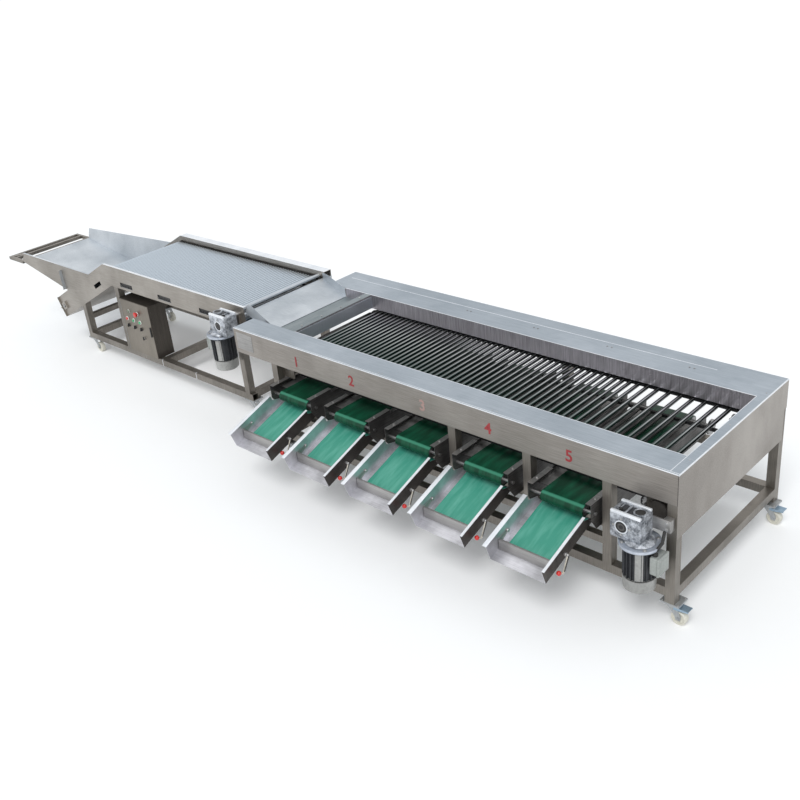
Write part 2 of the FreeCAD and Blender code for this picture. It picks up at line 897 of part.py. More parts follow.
def edge_line(drop, right):
    # The deck's top edge lowered by one drop, from the right end to the low end
    a = math.radians(incline)
    knee = (knee_x + drop * math.tan(a / 2), work_height - drop)
    end = (knee_x - incline_length * math.cos(a) + drop * math.sin(a),
           work_height - incline_length * math.sin(a) - drop * math.cos(a))
    return [(right, work_height - drop), knee, end]


def bottom_line():
    # Underside of the side plates: level part, then the incline's lower edge
    a = math.radians(incline)
    low = edge_line(band_width, deck_right)
    z = work_height - side_height
    corner = low[1][0] + (z - low[1][1]) / math.tan(a) if z > low[1][1] else low[1][0]
    return [(deck_right, z), (corner, z), low[2]]


def underside_z(x):
    low = bottom_line()[2]
    return low[1] + (x - low[0]) * math.tan(math.radians(incline))


def strip(drop0, drop1, y0, y1):
    return plate_y(edge_line(drop0, deck_right) + edge_line(drop1, deck_right)[::-1], y0, y1)


def deck_side_plates():
    top = edge_line(0, deck_right)
    outline = top + bottom_line()[::-1]
    head, knee, tail, a = deck_axes()
    sides = []
    for y0, y1 in ((infeed_front, infeed_front + plate), (infeed_rear - plate, infeed_rear)):
        side = plate_y(outline, y0, y1)
        for x in slot_x:
            side = side.cut(box(x - slot_length / 2, x + slot_length / 2, y0 - 1, y1 + 1,
                                slot_z, slot_z + slot_height))
        middle = knee + (tail - knee) * 0.22
        slot = box(-incline_slot_length / 2, incline_slot_length / 2, y0 - 1, y1 + 1,
                   -incline_slot_height / 2, incline_slot_height / 2)
        slot.rotate(V(0, 0, 0), V(0, 1, 0), -incline)
        slot.translate(V(middle.x, 0, middle.z - 20))
        side = side.cut(slot)
        for axis in (head, tail):
            side = side.cut(hole_y(deck_shaft_r, y0, y1, axis.x, axis.z))
        sides.append(side)
    flange = strip(0, plate, infeed_front + plate, infeed_front + front_flange)
    inner = infeed_rear - rear_channel
    channel = strip(0, plate, inner, infeed_rear - plate)
    wall = strip(plate, rear_wall_drop, inner, inner + plate)
    add("deck_side_plates", [fused([sides[0], flange]), fused([sides[1], channel, wall])])
    under = bottom_line()
    corner = (under[1][0] - sheet * math.tan(a / 2), under[1][1] + sheet)
    upper = [(deck_right, under[0][1] + sheet), corner, edge_line(band_width - sheet, deck_right)[2]]
    for k in range(2):
        pan = [under[k], under[k + 1], upper[k + 1], upper[k]]
        add("deck_side_plates", [plate_y(pan, infeed_front + plate, infeed_rear - plate)])
    deck_bearings(head, tail, a)


def deck_bearings(head, tail, a):
    # Bearing blocks, end caps and take-up screws on the outer faces
    half = bearing_size / 2
    small = 0.8 * half
    outer = deck_block
    away = V(-math.cos(a), 0, -math.sin(a))
    low_end = edge_line(0, deck_right)[2]
    end_bottom = edge_line(band_width, deck_right)[2]
    for y0, y1 in ((infeed_front - outer, infeed_front), (infeed_rear, infeed_rear + outer)):
        for axis, size in ((head, half), (tail, small)):
            block = box(axis.x - size, axis.x + size, y0, y1, axis.z - size, axis.z + size)
            if axis == tail:
                block.rotate(axis, V(0, 1, 0), -incline)
            add("deck_side_plates", [block.cut(hole_y(deck_shaft_r, y0, y1, axis.x, axis.z))])
        start = V(tail.x, (y0 + y1) / 2, tail.z) + away * small
        reach = (V(low_end[0], start.y, low_end[1]) - start).dot(away)
        screw = rod_x(take_up_r, -reach, 0, start.y, 0)
        nut = rod_x(1.8 * take_up_r, -reach - plate - 12, -reach - plate, start.y, 0)
        for piece in (screw, nut):
            piece.rotate(V(0, 0, 0), V(0, 1, 0), -incline)
            piece.translate(V(start.x, 0, start.z))
            add("deck_side_plates", [piece])
    for y0, y1 in ((infeed_front - outer, infeed_front + plate), (infeed_rear - plate, infeed_rear + outer)):
        cap = [low_end, end_bottom, (end_bottom[0] + away.x * plate, end_bottom[1] + away.z * plate),
               (low_end[0] + away.x * plate, low_end[1] + away.z * plate)]
        add("deck_side_plates", [plate_y(cap, y0, y1)])


def deck_rollers():
    head, knee, tail, a = deck_axes()
    y0 = infeed_front + front_flange + deck_chain_width
    y1 = infeed_rear - rear_channel - 6 - deck_chain_width
    rollers = []
    for side in (1, -1):
        lift = side * deck_sprocket_r
        bend = V(knee.x - lift * math.tan(a / 2), 0, knee.z + lift)
        end = tail + V(-math.sin(a), 0, math.cos(a)) * lift
        level = head.x - bend.x
        pitch = deck_pitch if side == 1 else deck_pitch * deck_return_every
        sides = deck_sides if side == 1 else return_sides
        for k in range(int((level + (bend - end).Length) / pitch) + 1):
            run = k * pitch
            if run <= level:
                place = V(head.x - run, 0, head.z + lift)
            else:
                place = bend + V(-math.cos(a), 0, -math.sin(a)) * (run - level)
            rollers.append(bar_y(sides, deck_roller_r, y0, y1, place.x, place.z))
    add("deck_rollers", rollers)
    outer = bent_loop(head, knee, tail, deck_sprocket_r + deck_chain_half)
    inner = bent_loop(head, knee, tail, deck_sprocket_r - deck_chain_half)
    for outline in bands(outer, inner, bent_breaks):
        for low in (y0 - deck_chain_width, y1):
            add("roller_chains", [plate_y(outline, low, low + deck_chain_width)])
    deck_shafts(head, tail, (y0 - deck_chain_width, y1))


def deck_shafts(head, tail, strands):
    r = (deck_sprocket_r - deck_chain_half) * math.cos(math.pi / band_steps / 2) - gap
    rear = infeed_rear + deck_block + bolt_head
    joint = infeed_gear_front + gear_depth + gap
    stub = rod_y(gear_bore_r, infeed_gear_front + 2 * cover_lip, joint, head.x, head.z)
    shafts = {"infeed_drive_shaft": [stub, rod_y(deck_shaft_r, joint, rear, head.x, head.z)],
              "infeed_tail_shaft": [rod_y(deck_shaft_r, infeed_front - deck_block - bolt_head, rear,
                                          tail.x, tail.z)]}
    for (name, shaft), axis in zip(shafts.items(), (head, tail)):
        for low in strands:
            shaft.append(toothed_wheel(r, deck_tooth_depth, deck_teeth, low + 1,
                                       low + deck_chain_width - 1, axis.x, axis.z))
        add(name, apart(shaft))


def infeed_frame():
    solids = []
    bottom = infeed_rail_z + tube
    for y in (infeed_front, infeed_rear - tube):
        left = infeed_leg_x[0] - tube / 2
        right = infeed_leg_x[2] + tube / 2 + 24
        solids.append(tube_x(left, right, y, infeed_rail_z))
        for x in infeed_leg_x:
            x0 = x - tube / 2
            x1 = x + tube / 2
            if x == infeed_leg_x[0]:
                tops = (underside_z(x0), underside_z(x1))
            else:
                tops = (work_height - side_height, work_height - side_height)
            w = tube_wall
            slope = (tops[1] - tops[0]) / tube
            outer = plate_y([(x0, bottom), (x1, bottom), (x1, tops[1]), (x0, tops[0])], y, y + tube)
            inner = plate_y([(x0 + w, bottom - 1), (x1 - w, bottom - 1),
                             (x1 - w, tops[1] - slope * w + 1), (x0 + w, tops[0] + slope * w + 1)],
                            y + w, y + tube - w)
            solids.append(outer.cut(inner))
    y0 = infeed_front + tube
    y1 = infeed_rear - tube
    for x in (infeed_leg_x[0], infeed_middle_rail_x, infeed_leg_x[2]):
        solids.append(tube_y(y0, y1, x - tube / 2, infeed_rail_z))
    solids.append(tube_y(y0, y1, infeed_leg_x[0] - small_tube / 2, infeed_side_rail_z, small_tube))
    solids.append(tube_y(y0, y1, infeed_leg_x[1] - small_tube / 2,
                         work_height - side_height - small_tube - 10, small_tube))
    add("infeed_frame", solids)


def wing_y(x, z):
    # The rear wing leans outwards as it rises and towards the deck
    return hopper_rear_y + hopper_flare * (z - hopper_top) + hopper_taper * (x - hopper_left)


def hopper():
    a = math.radians(incline)
    left = hopper_left
    foot_x = knee_x - (work_height - hopper_top) / math.tan(a)
    floor_x = hopper_floor_x
    floor_z = work_height + (floor_x - knee_x) * math.tan(a)
    front = plate_y([(left, hopper_left_z), (floor_x, floor_z), (foot_x, hopper_top),
                     (hopper_lip_x, hopper_top)], infeed_front, infeed_front + sheet)
    lip = box(hopper_lip_x, foot_x, infeed_front - hopper_lip, infeed_front, hopper_top - sheet, hopper_top)
    rear = [V(x, wing_y(x, z), z) for x, z in ((left, hopper_left_z), (floor_x, floor_z),
                                               (foot_x, hopper_top), (left, hopper_top))]
    y0 = infeed_front + sheet
    floor = [V(left, y0, hopper_left_z), V(floor_x, y0, floor_z),
             V(floor_x, wing_y(floor_x, floor_z), floor_z),
             V(left, wing_y(left, hopper_left_z), hopper_left_z)]
    gusset_x = floor_x - 24
    gusset_low = floor_z + (floor_x - gusset_x) * (hopper_left_z - floor_z) / (floor_x - left)
    gusset = box(gusset_x - sheet, gusset_x, infeed_front - 2 * hopper_lip, infeed_front,
                 gusset_low, hopper_top - 4 * hopper_lip)
    add("hopper", [fused([front, lip]), slab(rear, V(0, sheet, 0)), slab(floor, V(0, 0, sheet)), gusset])
    hopper_end()


def hopper_end():
    # The open end frame: two arms, three cross bars and the front brace
    size = hopper_frame
    low = hopper_left_z - size
    rear_y = hopper_rear_y - size
    for y in (infeed_front, rear_y):
        add("hopper", [box(hopper_tip_x, hopper_left, y, y + size, low, hopper_left_z)])
    for x in (hopper_tip_x, hopper_bar_x, hopper_left - size):
        add("hopper", [box(x, x + size, infeed_front + size, rear_y, low, hopper_left_z)])
    brace = [(hopper_tip_x, hopper_left_z), (hopper_tip_x + size, hopper_left_z),
             (hopper_lip_x, hopper_top - size / 2), (hopper_lip_x, hopper_top)]
    add("hopper", [plate_y(brace, infeed_front - plate, infeed_front)])


def discharge_chute():
    run = chute_right - chute_left
    peak = (chute_peak_x - chute_left) / run

    def edge(share, ends, z):
        return V(chute_left + share * run, ends[0] + share * (ends[1] - ends[0]), z)
    floor = [edge(0, chute_front_y, chute_z), edge(1, chute_front_y, chute_end_z),
             edge(1, chute_rear_y, chute_end_z), edge(0, chute_rear_y, chute_z)]
    cheeks = []
    for ends, high, way in ((chute_front_y, chute_peak_z, sheet), (chute_rear_y, chute_rear_top, -sheet)):
        cheeks.append(slab([edge(0, ends, chute_z + sheet), edge(1, ends, chute_end_z + sheet),
                            edge(1, ends, work_height), edge(peak, ends, high),
                            edge(0, ends, min(high, work_height + plate))], V(0, way, 0)))
    add("discharge_chute", [slab(floor, V(0, 0, sheet))] + cheeks)
    front = infeed_front + plate
    ends = (infeed_rear - rear_channel, infeed_rear - plate)
    for x, z, end in zip(bar_x, bar_z, ends):
        add("discharge_chute", [rod_y(bar_r, front, end, x, z)])
    add("discharge_chute", [box(ledge_left, chute_left, front, infeed_rear - plate,
                                chute_z - ledge_thick, chute_z + sheet)])


def control_box():
    left = infeed_leg_x[1] + tube / 2
    bottom = infeed_rail_z + tube
    front = door_front + door_depth + gap
    rear = front + box_depth
    inner = (left + sheet, box_right - sheet)
    walls = [box(inner[0], inner[1], front, rear, box_top - sheet, box_top),
             box(inner[0], inner[1], rear - sheet, rear, bottom + sheet, box_top - sheet),
             box(left, inner[0], front, rear, bottom, box_top),
             box(inner[1], box_right, front, rear, bottom, box_top)]
    base = box(inner[0], inner[1], front, rear, bottom, bottom + sheet)
    hood = box(left, box_right + 2 * sheet, front - door_depth + 2 * sheet, rear, box_top, box_top + sheet)
    gland = rod_z(gland_r + 5, bottom - gland_length + sheet, bottom, gland_x, gland_y)
    bore = pin_z(gland_r, bottom - gland_length, bottom + sheet + 1, gland_x, gland_y)
    add("control_box", [fused([base, gland]).cut(bore), hood] + walls)


def control_door():
    left = infeed_leg_x[1] + tube / 2 + gap
    bottom = infeed_rail_z + tube + 1
    top = box_top - gap
    y0 = door_front
    y1 = door_front + door_depth
    face = y0 - bezel_height
    door = box(left, box_right, y0, y1, bottom, top)
    inside = box(left + sheet, box_right - sheet, y0 + sheet, y1 + 1, bottom + sheet, top - sheet)
    door = door.cut(inside)
    rings = [rod_y(bezel_r, face, y0, x, button_z) for x in control_x]
    rings.append(rod_y(bezel_r, face, y0, stop_x, lamp_z))
    holes = [hole_y(button_r, face, y1, x, button_z) for x in control_x]
    holes += [hole_y(knob_stem_r, face, y1, x, knob_z) for x in control_x]
    holes.append(hole_y(button_r, face, y1, stop_x, lamp_z))
    holes.append(hole_y(knob_stem_r, face, y1, latch_x, latch_z))
    door = fused([door] + rings)
    for hole in holes:
        door = door.cut(hole)
    lamp = turned_y([(y0 - 12, bezel_r - 6), (y0 - 7, bezel_r), (y0, bezel_r)], lamp_x, lamp_z, 12)
    add("control_door", [door, lamp])
    control_buttons(face, y0)


def control_buttons(face, y0):
    back = y0 + sheet
    for k, x in enumerate(control_x, 1):
        add("push_button_%d" % k, [rod_y(button_r, face - button_height, back + 14, x, button_z)])
        skirt = rod_y(knob_r, y0 - gap - 6, y0 - gap, x, knob_z)
        grip = box(x - 4, x + 4, y0 - gap - knob_height, y0 - gap - 6, knob_z - knob_r + 1,
                   knob_z + knob_r - 1)
        stem = rod_y(knob_stem_r, y0 - gap, back + 14, x, knob_z)
        add("rotary_knob_%d" % k, [skirt, grip, stem])
    head_y = face - stop_travel - 2
    head = turned_y([(head_y - 14, stop_r - 6), (head_y - 9, stop_r), (head_y, stop_r - 2)],
                    stop_x, lamp_z, 12)
    stem = rod_y(button_r, head_y, back + 12, stop_x, lamp_z)
    add("emergency_stop", [head, stem])
    turn = rod_y(latch_r, y0 - gap - 8, y0 - gap, latch_x, latch_z)
    wing = box(latch_x - 3, latch_x + 3, y0 - gap - 16, y0 - gap - 8, latch_z - 14, latch_z + 14)
    stem = rod_y(knob_stem_r, y0 - gap, back + 10, latch_x, latch_z)
    add("door_latch", [turn, wing, stem])


def caster_places():
    # Swivel centres, by name. Plates sit flush with the frame's outer faces.
    inset = caster_plate_y / 2
    sizer_y = (leg_front + inset, sizer_width - sheet - inset)
    infeed_y = (infeed_front + inset, infeed_rear - inset)
    places = {}
    for end, x in (("left", leg_x[0]), ("right", right_leg + tube / 2)):
        for side, y in zip(("front", "rear"), sizer_y):
            places["sizer_%s_%s" % (end, side)] = (x, y, end == "right")
    for end, x in (("left", infeed_leg_x[0]), ("right", infeed_leg_x[2])):
        for side, y in zip(("front", "rear"), infeed_y):
            places["infeed_%s_%s" % (end, side)] = (x, y, False)
    return places


def caster(name, cx, cy, braked):
    plate_top = caster_height - adapter
    plate_low = plate_top - caster_plate
    hx = caster_plate_x / 2
    hy = caster_plate_y / 2
    pad = box(cx - hx, cx + hx, cy - hy, cy + hy, plate_top, caster_height)
    top = box(cx - hx, cx + hx, cy - hy, cy + hy, plate_low, plate_top)
    top = top.cut(hole_z(king_r, plate_low, plate_top, cx, cy))
    frame = "sizer_frame" if name.startswith("sizer") else "infeed_frame"
    add(frame, [pad, top])
    wheel_x = cx + trail
    crown_top = plate_low - gap
    crown_low = crown_top - crown_depth
    inner = wheel_width / 2 + wheel_side_play
    outer = inner + fork_plate
    pieces = [rod_z(crown_r, crown_low, crown_top, cx, cy),
              rod_z(king_r, crown_top, plate_top - 2 * gap, cx, cy),
              rod_y(axle_r, cy - outer - bolt_head, cy + outer + bolt_head, wheel_x, wheel_r)]
    leg = [(cx - 28, crown_low), (cx + 24, crown_low), (wheel_x + 16, wheel_r + 10),
           (wheel_x + 11, wheel_r - 11), (wheel_x - 12, wheel_r - 11), (wheel_x - 18, wheel_r + 12)]
    for low in (cy - outer, cy + inner):
        pieces.append(plate_y(leg, low, low + fork_plate))
    if braked:
        hole = hole_y(pedal_pin_r, cy - outer, cy + outer, cx + pedal_pin_x, pedal_pin_z)
        pieces = [piece.cut(hole) for piece in pieces]
    add("fork_" + name, apart(pieces))
    half = wheel_width / 2
    wheel = turned_y([(cy - half, wheel_r - wheel_chamfer), (cy - half + wheel_chamfer, wheel_r),
                      (cy + half - wheel_chamfer, wheel_r), (cy + half, wheel_r - wheel_chamfer)],
                     wheel_x, wheel_r, 12)
    add("wheel_" + name, [wheel.cut(hole_y(axle_r, cy - half, cy + half, wheel_x, wheel_r))])
    if braked:
        brake_pedal(name.split("_")[-1], cx, cy, outer + gap, crown_low - gap)


def brake_pedal(side, cx, cy, cheek_in, top_z):
    cheek_out = cheek_in + sheet
    pin_x0 = cx + pedal_pin_x
    end = cx + pedal_reach
    cheek = [(pin_x0 - 8, top_z - 4), (pin_x0 - 8, pedal_pin_z - 7), (pin_x0 + 10, pedal_pin_z - 7),
             (end, top_z - 7), (end, top_z), (pin_x0, top_z)]
    tread = box(cx + crown_r + 4, end, cy - cheek_out, cy + cheek_out, top_z - plate, top_z)
    pin = rod_y(pedal_pin_r, cy - cheek_out, cy + cheek_out, pin_x0, pedal_pin_z)
    cheeks = [plate_y(cheek, cy - cheek_out, cy - cheek_in), plate_y(cheek, cy + cheek_in, cy + cheek_out)]
    add("brake_pedal_" + side, apart([tread, pin] + cheeks))


def casters():
    for name, (cx, cy, braked) in caster_places().items():
        caster(name, cx, cy, braked)


def fasteners():
    heads = []
    for k in range(4):
        y = trough_front + (k + 0.5) * (trough_rear - trough_front) / 4
        x = entry_end - feed_bar_width / 2
        heads.append(rod_z(bolt_r, work_height, work_height + bolt_head, x, y))
    for c in outlet_x:
        for x in (c - outlet_half + 16, c + outlet_half - 16):
            heads.append(rod_z(bolt_r, outlet_top, outlet_top + bolt_head, x, outlet_front + 60))
    add("fasteners", heads)


sizer_frame()
bearing_blocks()
drive_guard()
outer_panels()
top_covers()
trough_plates()
feed_flap()
grading_rollers()
roller_chains()
sizer_shafts()
outlet_frames()
outlet_belts()
outlet_trays()
gates()
gearmotors()
deck_side_plates()
deck_rollers()
infeed_frame()
hopper()
discharge_chute()
control_box()
control_door()
casters()
fasteners()

bounds = Part.makeCompound([s for group in parts.values() for s in group]).BoundBox
shift = V(-(bounds.XMin + bounds.XMax) / 2, -(bounds.YMin + bounds.YMax) / 2, -bounds.ZMin)

os.makedirs("parts", exist_ok=True)
for name, group in parts.items():
    piece = Part.makeCompound(group)
    piece.translate(shift)
    piece.exportStep("parts/%s.step" % name)
print("nodes", len(parts), "size", bounds.XLength, bounds.YLength, bounds.ZLength)
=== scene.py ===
import bmesh
import bpy
import math
from mathutils import Matrix, Vector


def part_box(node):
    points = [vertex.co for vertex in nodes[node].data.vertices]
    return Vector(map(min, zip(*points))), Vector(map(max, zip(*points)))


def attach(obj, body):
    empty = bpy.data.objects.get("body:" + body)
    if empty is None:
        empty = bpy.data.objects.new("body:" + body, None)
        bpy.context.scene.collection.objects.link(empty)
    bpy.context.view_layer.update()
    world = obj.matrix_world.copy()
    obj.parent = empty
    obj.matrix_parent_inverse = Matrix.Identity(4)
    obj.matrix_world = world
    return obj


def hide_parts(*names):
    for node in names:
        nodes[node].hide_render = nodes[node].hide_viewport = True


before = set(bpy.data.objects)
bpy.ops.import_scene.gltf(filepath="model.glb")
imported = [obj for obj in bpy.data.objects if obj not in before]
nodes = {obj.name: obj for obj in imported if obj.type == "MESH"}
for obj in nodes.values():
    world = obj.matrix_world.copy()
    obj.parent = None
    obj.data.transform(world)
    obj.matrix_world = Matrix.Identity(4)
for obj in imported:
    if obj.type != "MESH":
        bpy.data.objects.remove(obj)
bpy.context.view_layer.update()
panelHeight = 0.506  # the end panel's lower edge above the floor line
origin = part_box("outer_panels")[0] - Vector((0, 0, panelHeight))


def at(x, y, z):
    # Millimetres from the sizer's front left corner and the floor, to metres in the frame
    return origin + Vector((x, y, z)) / 1000


# Finishes

class Wire:
    # A socket of a finish, so that its maths reads as plain sums
    def __init__(self, finish, socket):
        self.finish = finish
        self.socket = socket

    def maths(self, kind, a, b):
        return self.finish.node("Math", {"operation": kind}, {0: a, 1: b})

    def __add__(self, other):
        return self.maths("ADD", self, other)

    def __rsub__(self, other):
        return self.maths("SUBTRACT", other, self)

    def __mul__(self, other):
        return self.maths("MULTIPLY", self, other)

    def __pow__(self, other):
        return self.maths("POWER", self, other)

    __radd__ = __add__
    __rmul__ = __mul__


class Finish:
    def __init__(self, name, metal=0.0, rough=0.5, coat=0.0):
        self.material = bpy.data.materials.new(name)
        self.material.use_nodes = True
        self.tree = self.material.node_tree
        self.shader = self.tree.nodes["Principled BSDF"]
        self.place = self.node("TexCoord", out="Object")
        self.put("Metallic", metal)
        self.put("Roughness", rough)
        self.put("Coat Weight", coat)

    def node(self, kind, settings=None, inputs=None, out=0):
        made = self.tree.nodes.new("ShaderNode" + kind)
        for key, value in (settings or {}).items():
            setattr(made, key, value)
        for key, value in (inputs or {}).items():
            self.plug(made.inputs[key], value)
        return Wire(self, made.outputs[out])

    def plug(self, socket, value):
        if isinstance(value, Wire):
            self.tree.links.new(value.socket, socket)
        else:
            socket.default_value = value

    def put(self, name, value):
        self.plug(self.shader.inputs[name], value)

    def noise(self, scale, stretch=(1, 1, 1), detail=3.0, rough=0.55):
        spot = self.node("Mapping", None, {"Vector": self.place, "Scale": stretch})
        return self.node("TexNoise", None, {"Vector": spot, "Scale": scale, "Detail": detail,
                                            "Roughness": rough})

    def wave(self, axis, scale):
        # Even stripes across one axis, 0 to 1
        return self.node("TexWave", {"bands_direction": axis, "wave_profile": "SIN"},
                         {"Vector": self.place, "Scale": scale}, out="Fac")

    def spread(self, value, low, high):
        return self.node("MapRange", None, {"Value": value, "From Min": low, "From Max": high})

    def facing(self, way, low, high):
        # 1 where the surface looks one way, 0 where it looks elsewhere
        look = self.node("TexCoord", out="Normal")
        share = self.node("VectorMath", {"operation": "DOT_PRODUCT"}, {0: look, 1: way}, out="Value")
        return self.spread(share, low, high)

    def depth(self, front, rear):
        # 0 at one distance behind the front face, 1 at another
        level = self.node("SeparateXYZ", None, {0: self.place}, out=1)
        return self.spread(level, at(0, front, 0).y, at(0, rear, 0).y)

    def mix(self, share, a, b):
        return self.node("Mix", {"data_type": "RGBA"}, {0: share, 6: self.tint(a), 7: self.tint(b)}, out=2)

    def tint(self, colour):
        return colour if isinstance(colour, Wire) else (*colour, 1)

    def colour(self, share, a, b):
        self.put("Base Color", self.mix(share, a, b))

    def bump(self, height, depth, strength=1.0):
        self.put("Normal", self.node("Bump", None, {"Height": height, "Distance": depth / 1000,
                                                   "Strength": strength}))


grainAlong = {"x": (1.5, 70, 70), "y": (70, 1.5, 70), "z": (70, 70, 1.5)}


def steel(name, dark, light, along="x", metal=0.85, rough=0.34, grain=0.5, cloudy=2.0, depth=0.04):
    # Brushed sheet: fine streaks one way over slow clouds, duller where it is darker
    made = Finish(name, metal)
    streak = made.spread(made.noise(6, grainAlong[along], 2), 0.3, 0.7)
    cloud = made.spread(made.noise(cloudy, (1, 1, 1), 3), 0.35, 0.68)
    smear = made.spread(made.noise(9, (1, 1, 0.35), 4), 0.5, 0.75)
    tone = streak * grain + cloud * (1 - grain)
    made.colour(tone * (1 - smear * 0.25), dark, light)
    made.put("Roughness", rough + 0.14 * (1 - tone) + 0.08 * smear)
    made.bump(streak, depth, 0.5)
    return made.material


def plain(name, dark, light, rough=0.45, metal=0.0, scale=60, depth=0.1, coat=0.0):
    # Moulded, cast or painted: a fine grain with slow dirt over it
    made = Finish(name, metal, rough, coat)
    grain = made.spread(made.noise(scale, (1, 1, 1), 4), 0.3, 0.7)
    dirt = made.spread(made.noise(7, (1, 1, 1), 3), 0.35, 0.7)
    made.colour(grain * 0.45 + dirt * 0.55, dark, light)
    made.put("Roughness", rough + 0.15 * (1 - dirt))
    made.bump(grain, depth, 0.6)
    return made.material


def cloth(name, dark, light, rough, depth=0.08):
    # Belt and mat covering: fine woven grain, dust and scuffs along the run
    made = Finish(name, 0.0, rough)
    weave = made.noise(900, (1, 1, 1), 1)
    dust = made.spread(made.noise(5, (6, 1, 1), 4), 0.42, 0.72)
    scuff = made.spread(made.noise(40, (1, 0.12, 0.12), 3), 0.62, 0.8)
    made.colour(dust * 0.7 + scuff * 0.3, dark, light)
    made.put("Roughness", rough + 0.12 * dust)
    made.bump(weave, depth, 0.5)
    return made.material


def linked(name, dark, light, pitch):
    # Oiled chain: bright worn side plates between dark gaps along the run
    made = Finish(name, 0.7, 0.42)
    link = made.spread(made.wave("X", 1 / pitch), 0.35, 0.6)
    grease = made.noise(120, (1, 1, 1), 4)
    made.colour(link * grease, dark, light)
    made.put("Roughness", 0.35 + 0.3 * grease)
    made.bump(link, 1.5, 0.8)
    return made.material


def polished(name, near, far, light, line, frontHighlight=0.16):
    # Bright round bars: a thin painted highlight line along their tops, strongest at the rear, and painted
    # shade on their sides, its colour blending from the front one to the rear one
    made = Finish(name, 0.9, 0.3)
    back = made.depth(200, 860)
    # painted highlight where each face looks the given way, dimmer towards the front, over a painted shade
    # colour
    paintedHighlight = made.facing(*line) * (frontHighlight + (1 - frontHighlight) * back ** 1.6)
    made.colour(paintedHighlight, made.mix(back, near, far), light)
    return made.material


def coated(name, dark, light, drumHighlight):
    # Green belt cover: dull and deep, with a painted highlight line where it turns over the drum
    made = Finish(name, 0.0, 0.42)
    made.put("Specular IOR Level", 0.25)
    dust = made.spread(made.noise(5, (6, 1, 1), 4), 0.42, 0.75)
    paintedHighlight = made.facing((0, -0.50, 0.866), 0.94, 0.995)
    made.colour(paintedHighlight * 0.8, made.mix(dust, dark, light), drumHighlight)
    made.bump(made.noise(900, (1, 1, 1), 1), 0.08, 0.5)
    return made.material


def speckled(name, dark, light, scale):
    # Rough sand casting: coarse light and dark grains with a soft skin over them
    made = Finish(name, 0.55, 0.42)
    grain = made.spread(made.noise(scale, (1, 1, 1), 3, 0.7), 0.36, 0.64)
    skin = made.spread(made.noise(24, (1, 1, 1), 4), 0.40, 0.60)
    made.colour(grain * 0.42 + skin * 0.58, dark, light)
    made.put("Roughness", 0.34 + 0.25 * grain)
    made.bump(grain, 0.6, 0.7)
    return made.material


